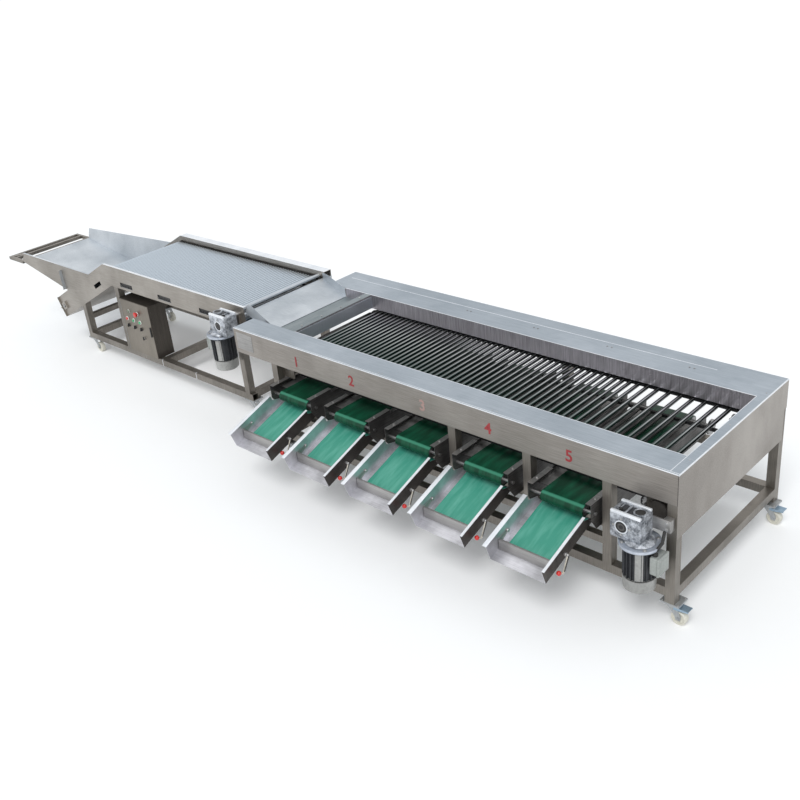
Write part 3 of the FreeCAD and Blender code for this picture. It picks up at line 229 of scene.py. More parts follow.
finish = {
    "fascia": steel("fasciaSteel", (0.235, 0.215, 0.195), (0.42, 0.39, 0.36), "x", cloudy=1.6),
    "cover": steel("coverSteel", (0.30, 0.345, 0.39), (0.45, 0.50, 0.555), "x", rough=0.38),
    "trough": steel("troughSteel", (0.22, 0.21, 0.225), (0.60, 0.57, 0.62), "z", rough=0.3, grain=0.75),
    "frame": steel("frameSteel", (0.15, 0.137, 0.12), (0.31, 0.285, 0.255), "z", cloudy=4),
    # painted highlight line on the grading rollers, over painted shade that takes a painted green
    # reflection of the belts at the front
    "roller": polished("rollerSteel", (0.022, 0.050, 0.042), (0.010, 0.011, 0.013), (0.86, 0.88, 0.90),
                       ((0.45, 0, 0.89), 0.93, 0.99)),
    # painted light and shade on the deck rollers: lighter tops and darker sides, even along the run
    "deckRoller": polished("deckRollerSteel", (0.10, 0.12, 0.145), (0.10, 0.12, 0.145), (0.53, 0.60, 0.67),
                           ((0.30, 0, 0.954), 0.62, 0.86), 1.0),
    "deck": steel("deckSteel", (0.24, 0.22, 0.195), (0.41, 0.38, 0.345), "x", cloudy=3),
    "hopper": steel("hopperSteel", (0.40, 0.44, 0.48), (0.74, 0.78, 0.82), "x", rough=0.36, grain=0.3),
    "tray": steel("traySteel", (0.36, 0.36, 0.38), (0.82, 0.82, 0.87), "x", rough=0.3, grain=0.3, cloudy=7),
    "gate": steel("gateSteel", (0.26, 0.255, 0.25), (0.50, 0.49, 0.48), "x", rough=0.34),
    "outlet": steel("outletSteel", (0.045, 0.042, 0.042), (0.19, 0.185, 0.18), "y", cloudy=6),
    "box": steel("boxSteel", (0.165, 0.148, 0.125), (0.285, 0.257, 0.22), "z", rough=0.4),
    "zinc": steel("zincPlate", (0.30, 0.31, 0.32), (0.52, 0.54, 0.55), "z", rough=0.42, cloudy=14),
    "pedal": steel("pedalZinc", (0.22, 0.32, 0.42), (0.42, 0.55, 0.66), "x", rough=0.36, cloudy=14),
    "bolt": steel("boltSteel", (0.32, 0.32, 0.32), (0.62, 0.62, 0.61), "z", rough=0.3, cloudy=30),
    "shaft": steel("shaftSteel", (0.20, 0.20, 0.20), (0.45, 0.45, 0.45), "y", 1.0, 0.3),
    "chain": linked("chainSteel", (0.012, 0.012, 0.013), (0.10, 0.10, 0.105), 0.0254),
    "cast": speckled("castAlloy", (0.085, 0.095, 0.11), (0.66, 0.69, 0.74), 110),
    "flange": plain("flangeAlloy", (0.36, 0.40, 0.47), (0.66, 0.70, 0.77), 0.34, 0.7, 60, 0.2),
    "motor": plain("motorPaint", (0.022, 0.024, 0.028), (0.075, 0.078, 0.085), 0.4, 0.3, 120, 0.3),
    "cowl": plain("cowlPaint", (0.28, 0.28, 0.27), (0.48, 0.48, 0.465), 0.4, 0.6, 90, 0.15),
    "terminal": plain("terminalAlloy", (0.27, 0.29, 0.275), (0.42, 0.44, 0.42), 0.45, 0.3, 120, 0.2),
    "black": plain("blackRubber", (0.012, 0.012, 0.012), (0.035, 0.034, 0.033), 0.5, 0.0, 90, 0.15),
    "guard": plain("guardPaint", (0.030, 0.026, 0.022), (0.075, 0.066, 0.058), 0.55, 0.0, 60, 0.2),
    "ivory": plain("wheelIvory", (0.56, 0.54, 0.46), (0.74, 0.72, 0.64), 0.42, 0.0, 60, 0.1),
    "white": plain("bezelWhite", (0.68, 0.68, 0.66), (0.84, 0.84, 0.82), 0.35, 0.0, 60, 0.02),
    "green": plain("lampGreen", (0.03, 0.30, 0.12), (0.06, 0.42, 0.18), 0.25, 0.0, 60, 0.02, 0.4),
    "red": plain("knobRed", (0.50, 0.012, 0.010), (0.68, 0.022, 0.018), 0.25, 0.0, 60, 0.02, 0.4),
    "digit": plain("digitPaint", (0.25, 0.020, 0.026), (0.38, 0.040, 0.045), 0.5, 0.0, 200, 0.02),
    "digitWorn": plain("digitWornPaint", (0.36, 0.20, 0.18), (0.47, 0.33, 0.30), 0.5, 0.2, 90, 0.02),
    "cream": plain("leverCream", (0.56, 0.52, 0.44), (0.74, 0.70, 0.62), 0.4, 0.1, 60, 0.05),
    "curtain": steel("curtainSheet", (0.62, 0.67, 0.74), (0.80, 0.85, 0.92), "z", 0.9, 0.3, 0.3),
    # painted highlight colour where the belts turn over the drums
    "belt": coated("beltCover", (0.002, 0.038, 0.018), (0.007, 0.105, 0.052), (0.045, 0.24, 0.15)),
    "mat": cloth("matCover", (0.045, 0.30, 0.215), (0.15, 0.46, 0.36), 0.42),
    # painted highlight colour along folds, seams and the top faces of plates and tray edges; the same
    # finish serves the gear cases' bright rings and rails and the weld seams
    "edge": plain("foldEdge", (0.68, 0.71, 0.75), (0.88, 0.90, 0.93), 0.35, 0.4, 60, 0.02),
    "cross": steel("crossBarSteel", (0.19, 0.225, 0.24), (0.33, 0.37, 0.39), "y", rough=0.38),
    # painted shade colour for the outer faces of the trays' right walls, also used for the dark strip down
    # the fascia's front right corner
    "traySide": steel("traySideSteel", (0.045, 0.040, 0.038), (0.14, 0.128, 0.12), "x", rough=0.36,
                      cloudy=8),
    # painted shade colour for the right-hand and top faces of the control box and door
    "boxSide": steel("boxSideSteel", (0.050, 0.044, 0.038), (0.115, 0.102, 0.09), "z", rough=0.42),
}

print("finishes", len(finish))

# Modelling


def clearAll():
    active = bpy.context.view_layer.objects.active
    if active and active.mode == "EDIT":
        bpy.ops.object.mode_set(mode="OBJECT")
    bpy.ops.object.select_all(action="DESELECT")


def pick(*pieces):
    clearAll()
    for piece in pieces:
        piece.select_set(True)
    bpy.context.view_layer.objects.active = pieces[0]


def seated(look):
    bpy.ops.object.transform_apply(location=True, rotation=True, scale=True)
    piece = bpy.context.view_layer.objects.active
    piece.data.materials.clear()
    piece.data.materials.append(finish[look])
    return piece


def change(piece, kind, **settings):
    step = piece.modifiers.new(kind.lower(), kind)
    for key, value in settings.items():
        setattr(step, key, value)
    pick(piece)
    bpy.ops.object.modifier_apply(modifier=step.name)


def soften(piece, edge, steps=2, angle=35):
    if edge:
        change(piece, "BEVEL", width=edge / 1000, segments=steps, limit_method="ANGLE",
               angle_limit=math.radians(angle))
    return piece


def block(low, high, look, edge=1.0, steps=2):
    clearAll()
    a, b = at(*low), at(*high)
    bpy.ops.mesh.primitive_cube_add(size=1, location=(a + b) / 2, scale=b - a)
    return soften(seated(look), edge, steps)


def bar(start, end, radius, look, sides=24, edge=0.0, tip=None):
    # A round bar or disc between two points, tapered where a tip radius is given
    clearAll()
    a, b = at(*start), at(*end)
    turn = (b - a).to_track_quat("Z", "Y").to_euler()
    bpy.ops.mesh.primitive_cone_add(vertices=sides, radius1=radius / 1000,
                                    radius2=(radius if tip is None else tip) / 1000,
                                    depth=(b - a).length, location=(a + b) / 2, rotation=turn)
    return soften(seated(look), edge)


def ball(centre, radius, look, squeeze=(1, 1, 1)):
    clearAll()
    bpy.ops.mesh.primitive_uv_sphere_add(segments=24, ring_count=14, radius=radius / 1000,
                                         location=at(*centre), scale=squeeze)
    return seated(look)


def outline(points, axis, start, end, look, edge=0.0):
    # A flat outline in the other two axes, pushed along one axis
    clearAll()
    bpy.ops.mesh.primitive_circle_add(vertices=len(points), fill_type="NGON")
    piece = bpy.context.view_layer.objects.active
    for vertex, (u, v) in zip(piece.data.vertices, points):
        vertex.co = at(*((start, u, v) if axis == 0 else (u, start, v) if axis == 1 else (u, v, start)))
    way = Vector([0, 0, 0])
    way[axis] = (end - start) / 1000
    bpy.ops.object.mode_set(mode="EDIT")
    bpy.ops.mesh.select_all(action="SELECT")
    bpy.ops.mesh.extrude_region_move(TRANSFORM_OT_translate={"value": way})
    bpy.ops.mesh.select_all(action="SELECT")
    bpy.ops.mesh.normals_make_consistent(inside=False)
    bpy.ops.object.mode_set(mode="OBJECT")
    return soften(seated(look), edge)


def step(piece, way, steps):
    # Insets and pushes, in millimetres, on the face that looks furthest one way
    pick(piece)
    bpy.ops.object.mode_set(mode="EDIT")
    bpy.ops.mesh.select_mode(type="FACE")
    bpy.ops.mesh.select_all(action="DESELECT")
    shape = bmesh.from_edit_mesh(piece.data)
    way = Vector(way)
    facing = [f for f in shape.faces if f.normal.dot(way) > 0.95]
    far = max(f.calc_center_median().dot(way) for f in facing)
    for face in facing:
        face.select_set(far - face.calc_center_median().dot(way) < 1e-5)
    bmesh.update_edit_mesh(piece.data)
    for inset, push in steps:
        if inset:
            bpy.ops.mesh.inset(thickness=inset / 1000, depth=push / 1000)
        else:
            bpy.ops.mesh.extrude_region_move(TRANSFORM_OT_translate={"value": way * push / 1000})
    bpy.ops.object.mode_set(mode="OBJECT")
    return piece


def copied(piece, places):
    # Copies moved by each place, in millimetres, or put through each matrix
    made = []
    for place in places:
        twin = piece.copy()
        twin.data = piece.data.copy()
        move = place if isinstance(place, Matrix) else Matrix.Translation(Vector(place) / 1000)
        twin.data.transform(move)
        bpy.context.scene.collection.objects.link(twin)
        made.append(twin)
    return made


def turns(centre, axis, count, first=0.0):
    # Matrices that turn a piece about a line through one point
    middle = Matrix.Translation(at(*centre))
    return [middle @ Matrix.Rotation(first + 2 * math.pi * k / count, 4, axis) @ middle.inverted()
            for k in range(count)]


def ring(piece, centre, axis, count, first=0.0):
    made = copied(piece, turns(centre, axis, count, first))
    bpy.data.objects.remove(piece)
    return made


def spaced(piece, places):
    made = copied(piece, places)
    bpy.data.objects.remove(piece)
    return made


def whole(name, pieces, body="machine", replaces=(), angle=35):
    # One named piece from its parts, smooth but for its edges
    pick(*pieces)
    if len(pieces) > 1:
        bpy.ops.object.join()
    piece = bpy.context.view_layer.objects.active
    piece.name = name
    piece.data.name = name
    bpy.ops.object.shade_smooth_by_angle(angle=math.radians(angle))
    clearAll()
    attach(piece, body)
    if replaces:
        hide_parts(*replaces)
    return piece


def screw(x, y, z, way, radius=5.0, height=3.0, look="bolt"):
    # Hexagon head on a washer, looking one way
    way = Vector(way)
    spot = Vector((x, y, z))
    washer = bar(spot, spot + way * height * 0.3, radius * 1.35, look, 16)
    head = bar(spot, spot + way * height, radius, look, 6, radius * 0.12)
    return [washer, head]


# Camera, light and floor

cameraLook = {"place": (4916.68, -3432.23, 3293.78), "forward": (-0.632603, 0.621563, -0.462032),
              "right": (0.731799, 0.675026, -0.093862), "lens": 45.5612, "sensor": 36.0}
back = -Vector(cameraLook["forward"])
right = Vector(cameraLook["right"])
turned = Matrix((right, back.cross(right), back)).transposed().to_4x4()
lens = bpy.data.cameras.new("camera")
lens.lens = cameraLook["lens"]
lens.sensor_width = cameraLook["sensor"]
lens.clip_start = 0.05
lens.clip_end = 200
camera = bpy.data.objects.new("camera", lens)
camera.matrix_world = Matrix.Translation(at(*cameraLook["place"])) @ turned
bpy.context.scene.collection.objects.link(camera)
bpy.context.scene.camera = camera
bpy.context.scene.view_settings.view_transform = "Standard"

lightLook = {"sky": (0.93, 0.97, 1.0), "skyPower": 0.72, "sunPower": 1.5, "sunSoft": 25.0,
             "sunWay": (-0.25, 0.55, -0.80), "floor": 0.90, "floorLift": 0.10}


def seenDirectly(tree):
    # 1 for what the camera, a gloss or a glass ray sees, 0 for the light that falls on things
    path = tree.nodes.new("ShaderNodeLightPath")
    total = path.outputs["Is Camera Ray"]
    for name in ("Is Glossy Ray", "Is Transmission Ray"):
        both = tree.nodes.new("ShaderNodeMath")
        both.operation = "MAXIMUM"
        tree.links.new(total, both.inputs[0])
        tree.links.new(path.outputs[name], both.inputs[1])
        total = both.outputs[0]
    return total


def makeStage():
    world = bpy.data.worlds.new("sky")
    bpy.context.scene.world = world
    world.use_nodes = True
    tree = world.node_tree
    sky = tree.nodes["Background"]
    sky.inputs["Color"].default_value = (*lightLook["sky"], 1)
    sky.inputs["Strength"].default_value = lightLook["skyPower"]
    white = tree.nodes.new("ShaderNodeBackground")
    white.inputs["Color"].default_value = (1, 1, 1, 1)
    white.inputs["Strength"].default_value = 1
    both = tree.nodes.new("ShaderNodeMixShader")
    tree.links.new(seenDirectly(tree), both.inputs[0])
    tree.links.new(sky.outputs[0], both.inputs[1])
    tree.links.new(white.outputs[0], both.inputs[2])
    tree.links.new(both.outputs[0], tree.nodes["World Output"].inputs["Surface"])
    sun = bpy.data.lights.new("sun", "SUN")
    sun.energy = lightLook["sunPower"]
    sun.angle = math.radians(lightLook["sunSoft"])
    lamp = bpy.data.objects.new("sun", sun)
    lamp.rotation_mode = "QUATERNION"
    lamp.rotation_quaternion = Vector(lightLook["sunWay"]).to_track_quat("-Z", "Y")
    bpy.context.scene.collection.objects.link(lamp)
    clearAll()
    bpy.ops.mesh.primitive_plane_add(size=120, location=(0, 0, -0.0005))
    floor = bpy.context.view_layer.objects.active
    floor.name = "floor"
    paint = Finish("floorPaint", 0.0, 0.9)
    paint.put("Base Color", (lightLook["floor"],) * 3 + (1,))
    paint.put("Specular IOR Level", 0.0)
    paint.put("Emission Color", (1, 1, 1, 1))
    paint.put("Emission Strength", lightLook["floorLift"])
    floor.data.materials.append(paint.material)


makeStage()
print("camera, light and floor")

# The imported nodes' own finishes

nodeLooks = {
    "sizer_frame": "frame", "infeed_frame": "frame", "outer_panels": "fascia", "top_covers": "cover",
    "trough_plates": "trough", "discharge_chute": "hopper", "hopper": "hopper", "feed_flap": "curtain",
    "grading_rollers": "roller", "deck_rollers": "deckRoller", "roller_chains": "chain",
    "drive_guard": "guard", "outlet_belts": "belt", "tray_mats": "mat", "outlet_frames": "outlet",
    "outlet_trays": "tray", "sizer_gearmotor": "cast", "infeed_gearmotor": "cast",
    "control_box": "box", "control_door": "box", "emergency_stop": "red", "fasteners": "bolt",
    "door_latch": "black", "deck_side_plates": "deck", "main_drive_shaft": "shaft",
    "main_tail_shaft": "shaft", "gearbox_output": "shaft", "belt_line_shaft": "shaft",
    "outlet_drums": "shaft", "infeed_drive_shaft": "shaft", "infeed_tail_shaft": "shaft",
}
startLooks = {"gate_": "gate", "push_": "white", "rotary_": "black", "fork_": "zinc",
              "wheel_": "ivory", "brake_": "pedal"}
for name, node in nodes.items():
    look = nodeLooks.get(name) or next(v for k, v in startLooks.items() if name.startswith(k))
    node.data.materials.clear()
    node.data.materials.append(finish[look])

# Places that several pieces share, in millimetres

workHeight = 850.0
outletLook = {"first": 564.0, "pitch": 487.0, "count": 5, "belt": 245.0, "offset": 10.0,
              "drumY": -40.0, "lineY": 990.0, "drumZ": 515.0, "drum": 33.2, "thick": 2.4,
              "trayLeft": 177.0, "trayRight": 148.0, "angle": 18.4, "trayY": -400.0, "trayZ": 312.0,
              "wall": 93.0, "foldLong": 356.0, "foldOut": 24.0, "foldIn": 2.0, "foldLow": -1.4,
              "foldHigh": 0.4, "foldMiddles": (-181.0, 155.0), "foldReach": 7.5}
centres = [outletLook["first"] + k * outletLook["pitch"] for k in range(outletLook["count"])]

# Faces of the imported nodes that take another finish: some have a finish of their own, others take painted
# shade and painted highlights

faceLook = {"casterPlate": 130.5, "hopperLeft": -3215.0, "hopperFrame": 642.0, "hopperFront": 260.0}


def faces(name, look, wanted):
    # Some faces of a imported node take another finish, by where they look and lie
    node = nodes[name]
    node.data.materials.append(finish[look])
    for face in node.data.polygons:
        spot = (node.matrix_world @ face.center - origin) * 1000
        if wanted(face.normal, spot):
            face.material_index = len(node.data.materials) - 1


def looksUp(normal, spot):
    return normal.z > 0.93


def onShadedSide(normal, spot):
    return normal.x > 0.9 or normal.z > 0.9


def onCasterPlate(normal, spot):
    return spot.z < faceLook["casterPlate"]


def onHopperFront(normal, spot):
    # The outer face of the front wing
    return normal.y < -0.5 and spot.y < faceLook["hopperFront"]


def onHopperFrame(normal, spot):
    # The open end frame
    return spot.x < faceLook["hopperLeft"] and spot.z < faceLook["hopperFrame"]


def onTrayRight(normal, spot):
    # The outer face of a tray's right wall, which takes a dark painted shade colour
    return normal.x > 0.9 and any(abs(spot.x - c - outletLook["trayRight"]) < 1 for c in centres)


def onTrayFold(normal, spot):
    # The folded top edges, outside the tray's two walls, which take a painted highlight colour
    middles = [c + middle for c in centres for middle in outletLook["foldMiddles"]]
    return normal.z > 0.9 and any(abs(spot.x - x) < outletLook["foldReach"] for x in middles)


faces("outer_panels", "cover", looksUp)
faces("trough_plates", "cross", looksUp)
# painted highlight: the side plates' top faces take the bright edge finish
faces("deck_side_plates", "edge", looksUp)
# painted light: the top faces of the outlet frames take the lighter gate finish
faces("outlet_frames", "gate", looksUp)
faces("outlet_trays", "traySide", onTrayRight)
faces("outlet_trays", "edge", onTrayFold)
faces("hopper", "deck", onHopperFront)
faces("hopper", "frame", onHopperFrame)
for name in ("control_box", "control_door"):
    faces(name, "boxSide", onShadedSide)
for name in ("sizer_frame", "infeed_frame"):
    faces(name, "zinc", onCasterPlate)

# Grading rollers, round, each turned down at its ends

rollerLook = {"first": 434.0, "pitch": 36.0, "grow": 0.155, "evenGaps": 48, "wideGrow": 6.0,
              "limit": 68.0, "radius": 11.0, "level": 729.0, "front": 153.0, "rear": 860.0,
              "head": 2968.0, "tail": 420.0, "turn": 75.0, "neck": 7.0, "neckLong": 9.0}


def rollerPlaces():
    # The upper run with its growing gaps, the turns at both ends and the return run
    look = rollerLook
    places = [look["first"]]
    pitch = look["pitch"]
    while places[-1] + pitch < look["head"] - look["turn"] / 2:
        places.append(places[-1] + pitch)
        grow = look["wideGrow"] if len(places) > look["evenGaps"] else look["grow"]
        pitch = min(pitch + grow, look["limit"])
    spots = [(x, look["level"]) for x in places]
    axis = look["level"] - look["turn"]
    for centre, side in ((look["head"], 1), (look["tail"], -1)):
        for angle in (45, 0, -45):
            a = math.radians(angle)
            spots.append((centre + side * look["turn"] * math.cos(a), axis + look["turn"] * math.sin(a)))
    count = int((look["head"] - look["tail"]) / look["limit"])
    spots += [(look["head"] - (k + 0.5) * look["limit"], axis - look["turn"]) for k in range(count)]
    return spots


def roller(look, kind, sides, edge):
    # One bar at x = 0 and z = 0, with a thinner neck at each end
    front = look["front"] + look["neckLong"]
    rear = look["rear"] - look["neckLong"]
    one = bar((0, front, 0), (0, rear, 0), look["radius"], kind, sides, edge)
    for way in (1, -1):
        step(one, (0, way, 0), [(look["radius"] - look["neck"], 0), (0, look["neckLong"])])
    return one


def makeRollers():
    level = rollerLook["level"]
    one = roller(rollerLook, "roller", 12, 0.8)
    # Painted shade: the turn and return-run rollers, the same bars as the upper run, take the dark outlet
    # finish
    lower = copied(one, [(x, 0, z) for x, z in rollerPlaces() if z < level])
    for piece in lower:
        piece.data.materials[0] = finish["outlet"]
    upper = spaced(one, [(x, 0, z) for x, z in rollerPlaces() if z == level])
    whole("gradingRollers", upper + lower, replaces=["grading_rollers"])


makeRollers()
print("grading rollers")

# Infeed deck rollers

deckLook = {"pitch": 27.2, "radius": 10.0, "neck": 6.0, "neckLong": 6.0, "front": 282.0,
            "rear": 967.0, "returnEvery": 3, "wheel": 42.0, "headX": -290.0, "shaftZ": 759.0,
            "knee": -1903.0, "incline": 27.5, "length": 880.0}


def deckLine():
    # Head, knee and tail of the chain's centre line
    look = deckLook
    a = math.radians(look["incline"])
    rise = workHeight - look["shaftZ"]
    knee = Vector((look["knee"] + rise * math.tan(a / 2), 0, look["shaftZ"]))
    tail = knee + Vector((-math.cos(a), 0, -math.sin(a))) * look["length"]
    return Vector((look["headX"], 0, look["shaftZ"])), knee, tail, a


def deckSpots(side, pitch):
    # Rollers along the upper side (1) or the return side (-1)
    head, knee, tail, a = deckLine()
    lift = side * deckLook["wheel"]
    bend = Vector((knee.x - lift * math.tan(a / 2), 0, knee.z + lift))
    end = tail + Vector((-math.sin(a), 0, math.cos(a))) * lift
    level = head.x - bend.x
    spots = []
    for k in range(int((level + (bend - end).length) / pitch) + 1):
        run = k * pitch
        if run <= level:
            spots.append((head.x - run, 0, head.z + lift))
        else:
            spot = bend + Vector((-math.cos(a), 0, -math.sin(a))) * (run - level)
            spots.append((spot.x, 0, spot.z))
    return spots


def makeDeckRollers():
    look = deckLook
    places = deckSpots(1, look["pitch"]) + deckSpots(-1, look["pitch"] * look["returnEvery"])
    bars = spaced(roller(look, "deckRoller", 10, 0.7), places)
    whole("deckRollers", bars, replaces=["deck_rollers"])


makeDeckRollers()
print("deck rollers")

# Worm gearmotors

gearLook = {"left": 65, "right": 96, "up": 65, "down": 72, "depth": 120, "offset": 63, "lip": 4,
            "rail": 16, "railUp": 8, "cover": 50, "ring": 34, "bore": 29, "hub": 19, "shaftEnd": 11,
            "coverBolts": 42, "ribs": (-30, 26), "plug": 32, "cap": 24, "neck": (74, 52),
            "flange": 100, "flangeThick": 14, "flangeBolts": 84, "flangeDrop": 8}
motorLook = {"radius": 68, "fin": 12, "fins": 20, "long": 175, "cowl": 80, "cowlLong": 60,
             "band": 19, "bandTurn": -62, "terminal": (45, 90, 95), "drop": 25, "pipe": 8, "nut": 13}


def gearCase(x, front, rear, left, right, low, high):
    # The housing: dished top, bright rails, cross webs
    g = gearLook
    lip = g["lip"]
    case = block((left, front + lip, low), (right, rear - lip, high), "cast", 9, 3)
    step(case, (0, 0, 1), [(12, -1), (2, -7)])
    pieces = [case]
    for y0 in (front + lip + 1, rear - lip - g["rail"] - 1):
        pieces.append(block((left + 3, y0, high - g["railUp"]),
                            (right - 3, y0 + g["rail"], high + g["railUp"]), "edge", 3.5, 3))
    for x0 in (left + 30, x + 4):
        pieces.append(block((x0 - 3, front + lip + 12, high - 9),
                            (x0 + 3, rear - lip - 12, high + 1), "cast", 1.5))
    return pieces


def gearBore(x, face, z, way):
    # The stepped cover, bright ring, dark bore, shaft end and four bolts of one face
    g = gearLook
    disc = bar((x, face - way * g["lip"], z), (x, face, z), g["cover"], "cast", 48, 1.2)
    step(disc, (0, way, 0), [(6, 0), (2, -1.5), (10, 0), (1.5, 1.5)])
    collar = bar((x, face - way * 2, z), (x, face + way * 3, z), g["ring"], "edge", 40, 1.0)
    step(collar, (0, way, 0), [(4, 0), (1, -3)])
    pieces = [disc, collar, bar((x, face - way, z), (x, face + way * 1.2, z), g["bore"], "black", 32),
              bar((x, face, z), (x, face + way * 2.0, z), g["hub"], "outlet", 32, 0.5),
              bar((x, face, z), (x, face + way * 2.4, z), g["shaftEnd"], "black", 24)]
    for head in screw(x + g["coverBolts"], face, z, (0, way, 0), 4.5, 4):
        pieces += ring(head, (x, face, z), "Y", 4)
    return pieces


def gearTop(x, front, rear, z, left, right, high, worm, side):
    # Side ribs, the round plug, the dark label recesses and the oil screw
    g = gearLook
    mid = (front + rear) / 2
    inset = g["lip"] + 8
    pieces = []
    for rib in (left + 6, right - 6):
        for level in g["ribs"]:
            pieces.append(block((rib - 8, front + inset, z + level - 3),
                                (rib + 8, rear - inset, z + level + 3), "cast", 1.5))
    plug = bar((worm, mid, high - 6), (worm, mid, high + 7), g["plug"], "cast", 40, 2)
    step(plug, (0, 0, 1), [(5, 0), (1, -2)])
    pieces += [plug, bar((worm, mid, high), (worm, mid, high + 5.6), g["cap"], "black", 32, 1)]
    for x0, x1 in ((left + 16, x - 8), (x + 2, worm - 30)):
        if x1 > x0:
            pieces.append(block((x0, mid - 30, high - 6), (x1, mid + 30, high - 3), "motor", 1))
    return pieces + screw(x - side * 25, mid - 20, high - 4, (0, 0, 1), 9, 11, "black")


def gearFlange(worm, mid, low):
    g = gearLook
    top = low - g["flangeDrop"]
    under = top - g["flangeThick"]
    wide, narrow = g["neck"]
    neck = bar((worm, mid, top), (worm, mid, low + 12), wide, "cast", 40, 2, narrow)
    plate = bar((worm, mid, under), (worm, mid, top), g["flange"], "flange", 64, 2)
    step(plate, (0, 0, 1), [(5, 0), (2, -2.5)])
    pieces = [neck, plate]
    for head in screw(worm + g["flangeBolts"], mid, top - 2, (0, 0, 1), 7, 7):
        pieces += ring(head, (worm, mid, top), "Z", 4, math.pi / 4)
    return pieces


def motorBody(worm, mid, under):
    # Finned barrel, a plain band along it and the fan cowl with its ringed end
    m = motorLook
    end = under - m["long"]
    outer = worm + m["radius"] + m["fin"]
    pieces = [bar((worm, mid, end), (worm, mid, under), m["radius"], "motor", 40)]
    fin = block((worm + m["radius"] - 3, mid - 1.8, end + 6), (outer, mid + 1.8, under - 8), "motor", 0.8)
    pieces += ring(fin, (worm, mid, end), "Z", m["fins"])
    band = block((worm + m["radius"] - 4, mid - m["band"], end + 10),
                 (outer - 1, mid + m["band"], under - 14), "cowl", 3)
    pieces += ring(band, (worm, mid, end), "Z", 1, math.radians(m["bandTurn"]))
    shroud = bar((worm, mid, end - m["cowlLong"]), (worm, mid, end + 4), m["cowl"] - 3, "cowl", 48, 0,
                 m["cowl"])
    step(shroud, (0, 0, -1), [(7, 7), (8, 0), (2, -3), (10, 0), (2, 3)])
    return pieces + [shroud]


def terminalBox(worm, mid, z, under, side):
    # Box, lid with four screws, and the rigid black pipe that climbs from it
    m = motorLook
    near = worm + side * (m["radius"] + 6)
    wide, deep, tall = m["terminal"]
    half = deep / 2
    top = under - m["drop"]
    x0, x1 = sorted((near, near + side * (wide - 6)))
    pieces = [block((x0, mid - half, top - tall), (x1, mid + half, top), "terminal", 7, 3)]
    x0, x1 = sorted((near + side * (wide - 8), near + side * (wide + 5)))
    lid = block((x0, mid - half - 2, top - tall - 2), (x1, mid + half + 2, top + 2), "terminal", 5, 3)
    step(lid, (side, 0, 0), [(9, 0), (3, 3)])
    pieces.append(lid)
    for dy in (9 - half, half - 9):
        for dz in (9 - tall, -9):
            pieces += screw(near + side * (wide + 5), mid + dy, top + dz, (side, 0, 0), 3.2, 2)
    foot = (near + side * 16, mid - 20, top - 6)
    bend = (near + side * 16, mid - 20, top + 22)
    turn = (near + side * 34, mid + 8, top + 60)
    end = (near + side * 34, mid + 24, z - 10)
    pieces.append(bar(foot, (bend[0], bend[1], foot[2] + 20), m["nut"], "black", 6, 1))
    for a, b in ((foot, bend), (bend, turn), (turn, end)):
        pieces += [bar(a, b, m["pipe"], "black", 20), ball(b, m["pipe"], "black")]
    return pieces


def gearUnit(x, front, z, side):
    # A whole unit; side = 1 puts the motor right of the bore
    g = gearLook
    rear = front + g["depth"]
    mid = (front + rear) / 2
    left = x - (g["left"] if side == 1 else g["right"])
    right = x + (g["right"] if side == 1 else g["left"])
    low = z - g["down"]
    high = z + g["up"]
    worm = x + side * g["offset"]
    under = low - g["flangeDrop"] - g["flangeThick"]
    pieces = gearCase(x, front, rear, left, right, low, high)
    for way, face in ((-1, front), (1, rear)):
        pieces += gearBore(x, face, z, way)
    pieces += gearTop(x, front, rear, z, left, right, high, worm, side)
    pieces += gearFlange(worm, mid, low)
    pieces += motorBody(worm, mid, under)
    return pieces + terminalBox(worm, mid, z, under, side)


unitLook = {"sizer": (2900, -144, 581), "infeed": (-290, 89, 759), "wing": (2996, 3088), "post": 3048,
            "postRear": 2, "bracket": (555, 620), "plate": 8, "boltX": 3068, "boltZ": (570, 605),
            "standoff": 46, "standoffRear": 250, "standoffRadius": 7}


def makeGearmotors():
    u = unitLook
    inner = gearLook["depth"] - gearLook["lip"]
    x, front, z = u["sizer"]
    pieces = gearUnit(x, front, z, 1)
    rear = front + inner
    low, high = u["bracket"]
    left, right = u["wing"]
    pieces.append(block((left, rear - u["plate"], low), (right, rear, high), "gate", 1.5))
    pieces.append(block((u["post"], rear, low), (right, u["postRear"], high), "gate", 1.5))
    for level in u["boltZ"]:
        pieces += screw(u["boltX"], rear - u["plate"], level, (0, -1, 0), 7, 5)
    whole("sizerGearmotor", pieces, replaces=["sizer_gearmotor"])
    x, front, z = u["infeed"]
    pieces = gearUnit(x, front, z, -1)
    rear = front + inner
    for dx in (-u["standoff"], u["standoff"]):
        for dz in (-u["standoff"], u["standoff"]):
            pieces.append(bar((x + dx, rear, z + dz), (x + dx, u["standoffRear"], z + dz),
                              u["standoffRadius"], "bolt", 16, 0.5))
    whole("infeedGearmotor", pieces, replaces=["infeed_gearmotor"])


makeGearmotors()
print("gearmotors")

# Casters

casterLook = {"wheel": 40, "width": 32, "trail": 35, "plateTop": 130, "boltX": 41, "boltY": 34,
              "x": {"sizer": (354, 3073), "infeed": (-2352, -325)},
              "y": {"sizer": (44.5, 1055.5), "infeed": (292.5, 1007.5)}}


def makeWheels():
    look = casterLook
    half = look["width"] / 2
    level = look["wheel"]
    for unit in ("sizer", "infeed"):
        for end, x in zip(("left", "right"), look["x"][unit]):
            for side, y in zip(("front", "rear"), look["y"][unit]):
                cx = x + look["trail"]
                tyre = bar((cx, y - half, level), (cx, y + half, level), look["wheel"], "ivory", 48, 3.5)
                for way in (1, -1):
                    step(tyre, (0, way, 0), [(6, 0), (2, -4), (12, 0), (2, 3)])
                name = "%s_%s_%s" % (unit, end, side)
                whole("wheel" + unit.title() + end.title() + side.title(), [tyre],
                      "wheel_" + name, ["wheel_" + name])


makeWheels()
print("wheels")

# Cross belts and swing gates


